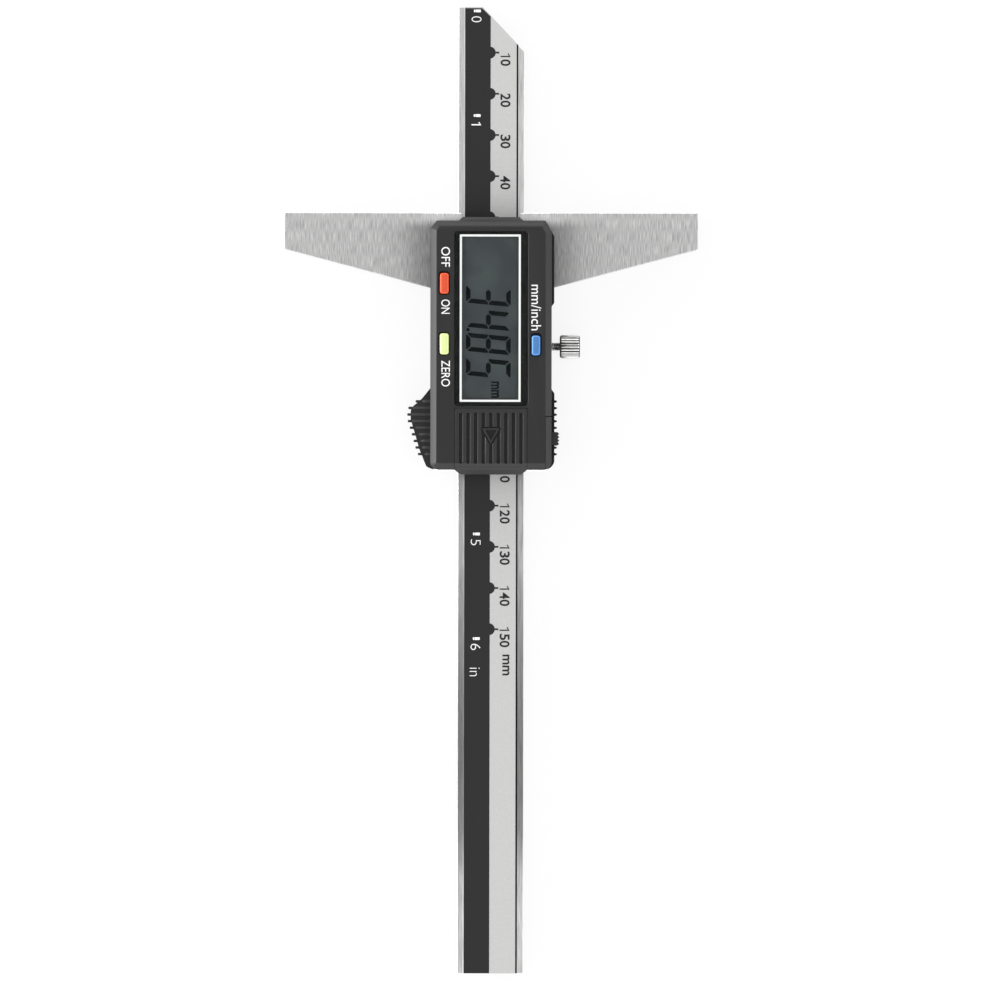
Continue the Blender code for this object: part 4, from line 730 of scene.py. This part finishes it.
def segment_outlines(width, height):
    """The seven segments of an upright digit, as outlines from its lower left corner."""
    thick = 1.18 * MM
    gap = 0.09 * MM
    blunt = 0.42 * MM
    half = thick / 2
    middle = height / 2
    low = [
        (blunt + 2 * gap, 0), (width - blunt - 2 * gap, 0), (width - blunt / 2 - 2 * gap, blunt / 2),
        (width - thick - gap, thick - gap), (thick + gap, thick - gap), (blunt / 2 + 2 * gap, blunt / 2),
    ]
    left = [
        (0, middle - gap), (0, blunt + 2 * gap), (blunt / 2, blunt / 2 + 2 * gap),
        (thick - gap, thick + gap), (thick - gap, middle - half - gap), (half - gap, middle - gap),
    ]
    middle_bar = [
        (half, middle), (thick, middle + half), (width - thick, middle + half),
        (width - half, middle), (width - thick, middle - half), (thick, middle - half),
    ]
    middle_bar = [(x + (2 * gap if x < width / 2 else -2 * gap), y) for x, y in middle_bar]

    def turned(outline, across=False, up=False):
        return [(width - x if across else x, height - y if up else y) for x, y in outline]

    return {
        "a": turned(low, up=True),
        "b": turned(left, across=True, up=True),
        "c": turned(left, across=True),
        "d": low,
        "e": left,
        "f": turned(left, up=True),
        "g": middle_bar,
    }


def make_digit(lit, start_y):
    """One digit on the glass, which reads downwards: its up is +X and its right is -Y."""
    shapes = segment_outlines(DIGIT_WIDTH, DIGIT_X[1] - DIGIT_X[0])
    pieces = []
    for letter in lit:
        outline = []
        for across, up in shapes[letter]:
            outline.append((DIGIT_X[0] + up, start_y - across - DIGIT_SLANT * up))
        pieces.append(plate("segment", outline, LCD_TOP, LCD_TOP + INK))
    return pieces


def make_display():
    """The digits on the glass, the black border under the lens and the white line on its edge."""
    pieces = []
    for lit, start_y in DIGITS:
        pieces += make_digit(lit, start_y * MM)
    point = round_box(around(-5.58 * MM, 0.75 * MM), around(38.9 * MM, 0.75 * MM), 0.3 * MM)
    pieces.append(plate("point", point, LCD_TOP, LCD_TOP + INK))
    pieces.append(lettering("mm", span(0.04, 2.0), span(22.4, 26.35), LCD_TOP, bold=0.03))
    finish(merge(pieces, "display_digits"), "head", "display_glass", segment_black)

    view = round_box(span(-6.95, 6.60), span(21.95, 61.40), 0.3 * MM)
    low = LENS_BOX[0].z - 0.04 * MM
    high = LENS_BOX[0].z - 0.015 * MM
    lens = round_box(*[(LENS_BOX[0][axis], LENS_BOX[1][axis]) for axis in (0, 1)], 0.8 * MM)
    border = plate("lens_border", lens, low, high)
    cut(border, plate("opening", view, low - INK, high + INK))
    finish(border, "head", "lens", border_black)

    outer = round_box(span(-7.58, 7.20), span(21.40, 61.96), 0.12 * MM)
    low = LENS_BOX[1].z
    line = plate("lens_frame_line", outer, low, low + INK)
    cut(line, plate("inner", drawn_in(outer, 0.52 * MM), low - INK, low + 2 * INK))
    finish(line, "head", "lens", frame_white)


# Moulded housing

FACE_Z = 14.0 * MM
CEILING_Z = 12.2 * MM
SKIRT_Z = 1.0 * MM
BOARD_Z = 6.2 * MM
BASE_TOP_Z = 6.0 * MM
HOUSING_TOP_Y = 65.35 * MM
HOUSING_LOW_Y = 5.0 * MM
COVER_TOP_Y = 19.85 * MM
PORT_TOP_Y = 17.95 * MM
BATTERY_Y = 12.85 * MM
GROOVE_FLOOR_Z = 13.05 * MM
ABOVE_Z = FACE_Z + OVER
BELOW_Y = HOUSING_LOW_Y - OVER
CELL_ROOM = 6.0 * MM
SEAM = 0.08 * MM
PORT_SEAM = 0.05 * MM
PORT_COVER_EASE = 0.15 * MM
SCREW_PLACES = in_mm((-11.2, 60.0), (11.2, 60.0), (-11.2, 23.6), (11.2, 23.6))
RIB_YS = [(21.55 - 1.6 * place) * MM for place in range(9)]
GRIP_EDGE = (
    (-14.70, 24.80), (-17.05, 21.94), (-19.21, 20.02), (-19.50, 18.05), (-19.38, 16.83), (-18.32, 13.23),
    (-17.34, 9.82), (-16.72, 8.35), (-16.07, 6.65), (-15.47, 5.6), (-13.98, 5.0),
)

# Half of the battery cover's width, in millimetres
COVER_HALF = 8.75


def smooth_line(points, steps=4):
    """A line that runs smoothly through points."""
    line = []
    for index in range(len(points) - 1):
        before = Vector(points[max(index - 1, 0)])
        first = Vector(points[index])
        last = Vector(points[index + 1])
        after = Vector(points[min(index + 2, len(points) - 1)])
        for step in range(steps):
            t = step / steps
            point = 0.5 * (
                2 * first + (last - before) * t + (2 * before - 5 * first + 4 * last - after) * t**2
                + (3 * first - before - 3 * last + after) * t**3
            )
            line.append((point.x, point.y))
    line.append(points[-1])
    return line


def make_grip():
    """The curved thumb grip on the left: its body, the ends of its ribs and their lighter tops."""
    corners = in_mm(*smooth_line(GRIP_EDGE), (-13.45, 5.42), (-13.45, 24.8))
    body = moulded("thumb_grip", drawn_in(corners, 0.05 * MM), soft_top(SKIRT_Z, 12.0 * MM, 0.3 * MM))
    slope = in_mm((-13.0, 0.5), (-22.0, 0.5), (-22.0, 8.4), (-19.2, 9.2, 4.0), (-14.6, 10.6), (-13.0, 10.6))
    keep_common(body, plate("slope", slope, 4 * MM, 26 * MM, axis="Y"))
    ends = []
    tops = []
    for y in RIB_YS:
        edge = grip_edge_at(y) / MM
        end = in_mm((edge + 1.0, 1.6), (edge - 0.8, 1.6, 0.3), (edge - 0.8, 8.2, 0.5), (edge + 1.0, 8.9))
        ends.append(moulded("end", end, soft_ends(*around(y, 0.6 * MM), 0.2 * MM), axis="Y"))
        top = in_mm(
            (-14.1, 8.4), (edge + 0.2, 8.4), (edge + 0.2, 9.3, 0.3), (-16.2, 10.45, 3.0), (-14.1, 10.95),
        )
        tops.append(moulded("top", top, soft_ends(*around(y, 0.72 * MM), 0.24 * MM), axis="Y"))
    weld(body, *ends)
    # Painted shade: the grip's body takes the darker plastic, its rib tops stay lighter
    finish(body, "head", "black_plastic", painted_shade_plastic)
    finish(merge(tops, "grip_ribs"), "head", "black_plastic", rib_plastic)


def grip_edge_at(y):
    """Where the grip's edge is on X at a height."""
    line = in_mm(*smooth_line(GRIP_EDGE))
    for (x0, y0), (x1, y1) in zip(line, line[1:]):
        if y1 <= y <= y0:
            return x0 + (x1 - x0) * (y0 - y) / (y0 - y1)


def make_tooth(y, low):
    """One tooth on the right flank, over its top and down its side."""
    y /= MM
    corners = in_mm(
        (14.1, y - 0.42), (15.1, y - 0.42), (16.0, y - 0.17, 0.12), (16.0, y + 0.17, 0.12),
        (15.1, y + 0.42), (14.1, y + 0.42),
    )
    return moulded("tooth", corners, soft_top(low * MM, 11.4 * MM, 0.1 * MM))


def make_flanks():
    """The wider, lower bands on the right side, above and below the lock screw, with their teeth."""
    upper = in_mm(
        (13.0, 65.1), (13.35, 65.1, 0.3), (15.33, 61.6, 1.0), (15.33, 45.5, 0.5), (14.4, 44.2, 0.3),
        (13.0, 44.2),
    )
    lower = in_mm((13.5, 24.9), (14.4, 24.9, 0.3), (15.4, 23.5, 0.6), (15.4, 5.15, 1.5), (13.5, 5.15))
    profile = soft_top(SKIRT_Z, 11.0 * MM, 0.25 * MM)
    upper_band = moulded("side_bands", upper, profile)
    lower_band = moulded("lower_band", lower, profile)
    corner = in_mm((12.0, 30.0), (12.0, 5.0), (15.45, 5.0, 2.5), (15.45, 30.0))
    keep_common(lower_band, plate("corner", corner, 0, FACE_Z, steps=10))
    port_band = keep_common(copy_of(lower_band, "port_cover_band"), port_block(-PORT_COVER_EASE))
    cut(lower_band, port_block(PORT_SEAM))
    weld(lower_band, *[make_tooth(y, 1.6) for y in RIB_YS if y > PORT_TOP_Y])
    # Painted shade: the side bands take the darker plastic
    finish(merge([upper_band, lower_band], "side_bands"), "head", "black_plastic", painted_shade_plastic)
    weld(port_band, *[make_tooth(y, 6.6) for y in RIB_YS if y < PORT_TOP_Y])
    # Painted shade: the port cover's band takes the darker plastic
    finish(port_band, "data_port_cover", "cover_plastic", painted_shade_plastic)


def make_housing_block():
    """The outer form of the housing before it is hollowed, with the tab that closes the base's notch."""
    left = in_mm((-14.7, 5.0, 1.8), (-14.7, 63.45, 0.6), (-13.2, 65.35, 0.5))
    right = in_mm((13.2, 65.35, 0.5), (14.7, 62.7, 0.6), (14.7, 5.0, 1.8))
    side = rounded(in_mm((0, 1.0), (0, 12.5, 0.35), (1.5, 14.0, 0.4), (3.0, 14.0)), 4)[:-1]
    outer = moulded("front_housing_moulding", left + right, side)
    tab = mirrored(in_mm((6.9, 66.2, 0.3), (7.75, 65.35, 0.3), (7.75, 62.0)))
    weld(outer, plate("tab", tab, 5.1 * MM, FACE_Z))
    slope = in_mm(
        (4.0, 0.5), (4.0, 15.0), (62.84, 15.0), (62.84, 14.0), (63.84, 14.0, 2.0), (67.0, 10.84),
        (67.0, 0.5),
    )
    return keep_common(outer, plate("slope", slope, -ACROSS, ACROSS, axis="X", steps=12))


def port_block(gap):
    """The corner of the housing that the data port cover takes."""
    x = (13.2 * MM - 0.4 * gap, ACROSS)
    return block("port_block", x, (BELOW_Y, PORT_TOP_Y + gap), (6.5 * MM - gap, ABOVE_Z))


def port_rail(name, gap, low):
    """The tongue and hook that guide the data port cover, or the groove for them."""
    gap = gap / MM
    corners = in_mm(
        (11.8 - gap, 11.2 - gap), (13.85, 11.2 - gap), (13.85, 12.0 + gap), (12.4 + gap, 12.0 + gap),
        (12.4 + gap, 12.6 + gap), (11.8 - gap, 12.6 + gap),
    )
    return plate(name, corners, low, PORT_TOP_Y + gap * MM, axis="Y")


def cover_section(gap):
    """Half of the battery cover's section, grown by a gap, with its sliding rail."""
    gap = gap / MM
    inner = COVER_HALF + gap
    outer = COVER_HALF + 1 + gap
    return in_mm((inner, 14.0 + gap), (inner, 12.0 + gap), (outer, 12.0 + gap), (outer, 11.2 - gap))


def housing_hollows():
    """The rails, the room of the board and display, and the room of the data port."""
    whole = (BELOW_Y, HOUSING_TOP_Y + OVER)
    return [
        block("rails", span(-13.4, 13.4), whole, (-OVER, BOARD_Z)),
        block("wings", span(-21, 21), span(48.8, 68), (-OVER, BOARD_Z)),
        block("display", span(-13.4, 13.4), span(19.65, 64.05), (-OVER, CEILING_Z)),
        block("port", span(10.6, 13.4), span(6.65, 20.65), (-OVER, CEILING_Z)),
    ]


def housing_openings():
    """The openings through the housing's walls."""
    lens_corners = round_box(around(0, 18.0 * MM), around(DISPLAY_Y, 42.55 * MM), 1.0 * MM)
    view_corners = round_box(around(0, 14.4 * MM), around(DISPLAY_Y, 40.65 * MM), 0.3 * MM)
    tools = [
        moulded("pocket", lens_corners, flared(12.8 * MM, FACE_Z, 0.16 * MM, ABOVE_Z), steps=6),
        plate("view", view_corners, CEILING_Z - OVER, ABOVE_Z),
    ]
    for name in BUTTONS:
        x, y = node_middle(name)
        corners = round_box(around(x, 2.65 * MM), around(y, 5.6 * MM), 0.8 * MM)
        tools.append(moulded(name, corners, flared(CEILING_Z - OVER, FACE_Z, 0.12 * MM, ABOVE_Z)))
    tools += [
        plate("slide", mirrored(cover_section(SEAM)), BELOW_Y, COVER_TOP_Y + SEAM, axis="Y"),
        post("pocket", CELL_ROOM, (0, BATTERY_Y), BASE_TOP_Z, CEILING_Z, FINE_SIDES),
        block("contacts", span(-2.2, 2.2), (BATTERY_Y, 20.65 * MM), (BASE_TOP_Z, 11.4 * MM)),
        port_block(PORT_SEAM),
        port_rail("groove", SEAM, BELOW_Y),
    ]
    for y in (LOCK_Y, LOCK_Y - 7 * MM, LOCK_Y + 7 * MM):
        tools.append(bar("side_hole", 1.2 * MM, (12.4 * MM, y, BLADE_MID_Z), (16.4 * MM, y, BLADE_MID_Z)))
    return tools + [post("pilot", 1.1 * MM, place, BASE_TOP_Z, 12.1 * MM) for place in SCREW_PLACES]


def make_housing():
    """The hollow housing with its screw bosses, and the data port cover cut from the same block."""
    housing = make_housing_block()
    port_cover = copy_of(housing, "data_port_cover_moulding")
    cut(housing, *housing_hollows())
    bosses = [post("boss", 1.7 * MM, place, BOARD_Z, 13.1 * MM) for place in SCREW_PLACES]
    ledge = block("ledge", span(12.95, 13.6), span(17.6, 18.6), span(6.21, 6.42))
    weld(housing, ledge, *bosses)
    cut(housing, *housing_openings())
    finish(housing, "head", "black_plastic", housing_plastic, "front_housing")
    make_port_cover(port_cover)


def make_port_cover(cover):
    """The small sliding door on the right side, with the rail that holds it."""
    keep_common(cover, port_block(-PORT_COVER_EASE))
    nub = moulded("nub", round_box(span(14.05, 16.53), span(10.85, 14.15), 0.6 * MM),
                  soft_ends(7.4 * MM, 11.45 * MM, 0.3 * MM))
    grooves = [
        block("groove", span(16.28, 17.5), around((10.85 + 0.825 * place) * MM, 0.4 * MM), span(7, 12))
        for place in (1, 2, 3)
    ]
    cut(nub, *grooves)
    weld(cover, port_rail("rail", 0, 6.65 * MM), nub)
    finish(cover, "data_port_cover", "cover_plastic", housing_plastic, "data_port_cover")


def make_battery_cover():
    """The sliding door of the battery: ridges, the slide arrow, its rails and the end wall."""
    cover = moulded("battery_cover_moulding", mirrored(in_mm((COVER_HALF, 19.85, 0.3), (COVER_HALF, 5.0))),
                    soft_top(12.4 * MM, FACE_Z, 0.12 * MM))
    rails = []
    for side in (1, -1):
        inner = side * 7.35
        edge = side * COVER_HALF
        outer = side * (COVER_HALF + 1)
        section = ((inner, 12.8), (edge, 12.8), (edge, 12.0), (outer, 12.0), (outer, 11.2), (inner, 11.2))
        rails.append(plate("rail", in_mm(*section), 6.65 * MM, COVER_TOP_Y, axis="Y"))
    plan = mirrored(in_mm((COVER_HALF, 6.65), (COVER_HALF, 4.85, 0.3), (7.25, 3.8, 0.4)))
    wall = plate("wall", plan, 6.4 * MM, 12.5 * MM)
    side = in_mm(
        (4.85, 6.4), (3.8, 6.4, 0.2), (3.8, 11.1, 0.5), (5.0, 12.5), (6.65, 12.5), (6.65, 11.2),
        (4.85, 11.2),
    )
    keep_common(wall, plate("side", side, -10 * MM, 10 * MM, axis="X"))
    weld(cover, *rails, wall)
    foot = in_mm((3.0, 12.5), (5.0, 12.5, 0.35), (6.5, 14.0, 0.4), (8.0, 14.0), (8.0, 15.0), (3.0, 15.0))
    cell = post("cell", CELL_ROOM, (0, BATTERY_Y), BOARD_Z, 12.25 * MM, FINE_SIDES)
    cut(cover, plate("foot", foot, -10 * MM, 10 * MM, axis="X"), cell)
    cut(cover, *cover_grooves())
    arrow = in_mm((-2.1, 15.0, 0.08), (2.1, 15.0, 0.08), (0, 11.2, 0.08))
    cut(cover, plate("moat", drawn_in(arrow, -0.36 * MM), GROOVE_FLOOR_Z - 0.2 * MM, ABOVE_Z))
    weld(cover, moulded("arrow", arrow, soft_top(12.7 * MM, FACE_Z, 0.1 * MM)))
    cut(cover, plate("hollow", drawn_in(arrow, 0.45 * MM), GROOVE_FLOOR_Z, ABOVE_Z))
    finish(cover, "battery_cover", "cover_plastic", cover_plastic, "battery_cover")


def cover_grooves():
    """The nine long grooves that leave ridges to push on."""
    edge_strip = 0.98
    half_groove = 0.45
    first = COVER_HALF - edge_strip - half_groove
    groove = moulded("groove", round_box(around(-first * MM, 0.66 * MM), span(6.5, 18.7), 0.32 * MM),
                     flared(GROOVE_FLOOR_Z, FACE_Z, 0.36 * MM, ABOVE_Z))
    grooves = [groove]
    for place in range(1, 9):
        twin = copy_of(groove, "groove")
        twin.data.transform(Matrix.Translation((place * first / 4 * MM, 0, 0)))
        grooves.append(twin)
    return grooves


# Lock screw

KNOB_RADIUS = 2.8 * MM
KNOB_X = span(16.70, 21.60)
KNOB_FLUTES = 24
KNOB_DEPTH = 0.3 * MM
FLUTE_SHARES = (0.0, 0.1, 0.26, 0.42, 0.52, 0.62, 0.72, 0.81, 0.9)
FLUTE_DEPTHS = (0.35, 0.08, 0.0, 0.08, 0.35, 0.8, 1.0, 1.0, 0.8)
SHANK_RADIUS = 1.0 * MM
THREAD_PITCH = 0.47 * MM
THREAD_DEPTH = 0.16 * MM


def beside_lock(radius, angle, x):
    """A point at a radius and an angle about the lock screw's axis."""
    return (LOCK_Y + radius * math.cos(angle), BLADE_MID_Z + radius * math.sin(angle), x)


def make_lock_screw():
    """The knurled knob, with straight flutes that run out in its bevels, and its threaded shank."""
    ends = [(0.5, 0.0), (0.22, 0.1), (0.0, 0.42)]
    stations = [(inset, KNOB_X[0] + run * MM) for inset, run in ends]
    stations += [(inset, KNOB_X[1] - run * MM) for inset, run in reversed(ends)]
    rings = []
    for inset, x in stations:
        ring = []
        for flute in range(KNOB_FLUTES):
            for share, depth in zip(FLUTE_SHARES, FLUTE_DEPTHS):
                angle = 2 * math.pi * (flute + share) / KNOB_FLUTES
                radius = min(KNOB_RADIUS - inset * MM, KNOB_RADIUS - depth * KNOB_DEPTH)
                ring.append(beside_lock(radius, angle, x))
        rings.append(ring)
    knob = loft("lock_screw_turned", rings, axis="X")
    start = (KNOB_X[1] - 0.2 * MM, LOCK_Y, BLADE_MID_Z)
    end = (KNOB_X[1] + OVER, LOCK_Y, BLADE_MID_Z)
    cut(knob, bar("dish", 1.6 * MM, start, end, FINE_SIDES))
    sides = 20
    steps = 6
    low = 9.0 * MM
    high = KNOB_X[0] + 0.3 * MM
    count = int((high - low) / THREAD_PITCH * steps)
    rings = []
    for station in range(count + 1):
        x = low + (high - low) * station / count
        ring = []
        for side in range(sides):
            turn = (x / THREAD_PITCH - side / sides) % 1
            depth = THREAD_DEPTH * (1 - abs(2 * turn - 1))
            if station in (0, count):
                depth = THREAD_DEPTH
            ring.append(beside_lock(SHANK_RADIUS - depth, 2 * math.pi * side / sides, x))
        rings.append(ring)
    shank = loft("lock_screw_shank", rings, axis="X")
    finish(knob, "lock_screw", "nickel", knob_plate, "lock_screw")
    finish(shank, "lock_screw", "nickel", plated_brass, "lock_screw")


# Base

def make_base():
    """The base, with a chamfer along its lower end, on which its finish paints a highlight."""
    base = merged_node("base_frame", "base_frame_ground")
    corners = in_mm((4.0, 5.1), (5.0, 6.1), (5.0, 7.0), (4.0, 7.0))
    cut(base, plate("chamfer", corners, -ACROSS, ACROSS, axis="X"))
    finish(base, "head", "ground_steel", base_steel, "base_frame")


# Screws on the back

def make_back_screws():
    """Cross recesses in the heads of the screws that hold the back plate."""
    for name in sorted(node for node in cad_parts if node.startswith("back_plate_screw")):
        x, y = node_middle(name)
        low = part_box(name)[0].z
        screw = merged_node(name, name + "_cross")
        slots = []
        for length, width in ((1.7, 0.42), (0.42, 1.7)):
            slot_y = around(y, width * MM)
            slots.append(block("slot", around(x, length * MM), slot_y, (low - OVER, low + 0.45 * MM)))
        cut(screw, *slots)
        finish(screw, "head", "screw_steel", screw_steel, name)


# Push buttons

# The finish and the slot of each button, and the places between which its cap shows
BUTTONS = {
    "on_off_button": (orange, "orange_button", (-12.38, -10.25), (47.60, 52.58)),
    "zero_button": (lime, "yellow_button", (-12.38, -10.25), (32.90, 37.97)),
    "unit_button": (blue, "blue_button", (9.87, 11.92), (32.68, 37.48)),
}


def make_buttons():
    """The coloured caps with soft edges, their flanges and their stems."""
    for name, (material, slot, x, y) in BUTTONS.items():
        middle_x, middle_y = node_middle(name)
        corners = round_box(span(*x), span(*y), 0.6 * MM)
        cap = moulded(name + "_cap", corners, soft_top(11.6 * MM, 14.5 * MM, 0.53 * MM, 5), steps=6)
        flange_y = around(middle_y, 6.1 * MM)
        flange = block("flange", around(middle_x, 3.15 * MM), flange_y, span(11.2, 12.0))
        stem_z = (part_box(name)[0].z, 11.6 * MM)
        stem = block("stem", around(middle_x, 1.6 * MM), around(middle_y, 1.6 * MM), stem_z)
        weld(cap, flange, stem)
        finish(cap, name, slot, material, name)


# Words on the housing

def make_housing_words():
    """The words beside the buttons, which read downwards."""
    words = (
        ("OFF", (-12.07, -9.96), (54.10, 58.90)),
        ("ON", (-12.07, -9.96), (42.72, 46.16)),
        ("ZERO", (-12.02, -9.92), (25.12, 31.42)),
        ("mm/inch", (9.74, 12.14), (38.75, 49.77)),
    )
    pieces = [lettering(word, span(*x), span(*y), FACE_Z) for word, x, y in words]
    finish(merge(pieces, "button_words"), "head", "black_plastic", ink_white)


# Camera, light and floor

VIEW_WIDTH = 238.1 * MM
VIEW_CENTRE = (-0.058 * MM, -0.06 * MM)
VIEW_PLANE_Z = 6 * MM
LENS_LENGTH = 500
SENSOR_WIDTH = 36
VIEW_ROLL = math.radians(0.1)


def make_camera():
    distance = VIEW_WIDTH * LENS_LENGTH / SENSOR_WIDTH
    deselect()
    bpy.ops.object.camera_add(location=(*VIEW_CENTRE, VIEW_PLANE_Z + distance), rotation=(0, 0, VIEW_ROLL))
    camera = bpy.context.object
    camera.data.lens = LENS_LENGTH
    camera.data.sensor_width = SENSOR_WIDTH
    camera.data.clip_end = 2 * distance
    bpy.context.scene.camera = camera


def make_lamp():
    """A wide lamp low on the left, which the camera doesn't see."""
    place = Vector((-0.9, 0.05, 0.16))
    target = Vector((0, 0.03, 0.01))
    deselect()
    bpy.ops.object.light_add(type="AREA", location=place)
    lamp = bpy.context.object
    lamp.name = "left_lamp"
    lamp.data.shape = "RECTANGLE"
    lamp.data.size = 0.9
    lamp.data.size_y = 0.3
    lamp.data.energy = 8
    lamp.rotation_euler = (target - place).to_track_quat("-Z", "Y").to_euler()
    lamp.visible_camera = False


def light_world():
    """A soft pale room, brighter low down, with a dark spot straight above and three soft patches.

    The camera itself sees it evenly white.
    """
    world = bpy.data.worlds.new("studio")
    bpy.context.scene.world = world
    world.use_nodes = True
    background = world.node_tree.nodes["Background"]
    background.inputs["Color"].default_value = (1, 1, 1, 1)
    place = add(world, "TexCoord", "Generated")

    def along(axis, low, high, to_low, to_high):
        """A strength that changes along one axis of the room."""
        return run(world, add(world, "SeparateXYZ", axis, {"Vector": place}), low, high, to_low, to_high)

    def towards(direction, low, high, strength):
        """A soft patch of the room in one direction."""
        way = {1: Vector(direction).normalized()}
        facing = add(world, "VectorMath", "Value", {0: place}, way, operation="DOT_PRODUCT")
        return run(world, facing, low, high, 1.0, strength)

    strengths = [
        along("X", -1, 1, 1.45, 1.38),
        along("Y", -1, 1, 0.95, 1.15),
        along("Z", 0.1, 0.8, 1.52, 0.58),
        along("Z", 0.992, 0.999, 1.0, 0.1),
        towards((0.1, 0.65, 0.76), 0.9, 0.98, 0.3),
        towards((0.1, -0.7, 0.7), 0.86, 0.97, 1.7),
        towards((0, 1.0, 0.1), 0.8, 0.97, 1.4),
    ]
    light = strengths[0]
    for strength in strengths[1:]:
        light = add(world, "Math", "Value", {0: light, 1: strength}, operation="MULTIPLY")
    seen = add(world, "LightPath", "Is Camera Ray")
    choice = add(world, "Mix", "Result", {"Factor": seen, "A": light}, {"B": 1.0}, data_type="FLOAT")
    world.node_tree.links.new(choice, background.inputs["Strength"])


def make_floor():
    """A white floor with a glow that only the camera sees."""
    deselect()
    bpy.ops.mesh.primitive_plane_add(size=3, location=(0, 0, -0.05 * MM))
    floor = bpy.context.object
    floor.name = "floor"
    material = new_finish("floor_white", (0.9, 0.9, 0.9), 0.9)
    glow = add(material, "Emission", "Emission")
    seen = add(material, "LightPath", "Is Camera Ray")
    share = add(material, "Math", "Value", {0: seen}, {1: 0.86}, operation="MULTIPLY")
    surfaces = {"Fac": share, 1: shader_of(material).outputs["BSDF"], 2: glow}
    surface = add(material, "MixShader", "Shader", surfaces)
    material.node_tree.links.new(surface, material.node_tree.nodes["Material Output"].inputs["Surface"])
    dress(floor, material)


deselect()
dress_nodes()
make_scale_prints()
make_display()
make_housing_words()
make_housing()
make_grip()
make_flanks()
make_battery_cover()
make_base()
make_lock_screw()
make_back_screws()
make_buttons()
make_camera()
light_world()
make_lamp()
make_floor()

bpy.context.scene.view_settings.view_transform = "Standard"
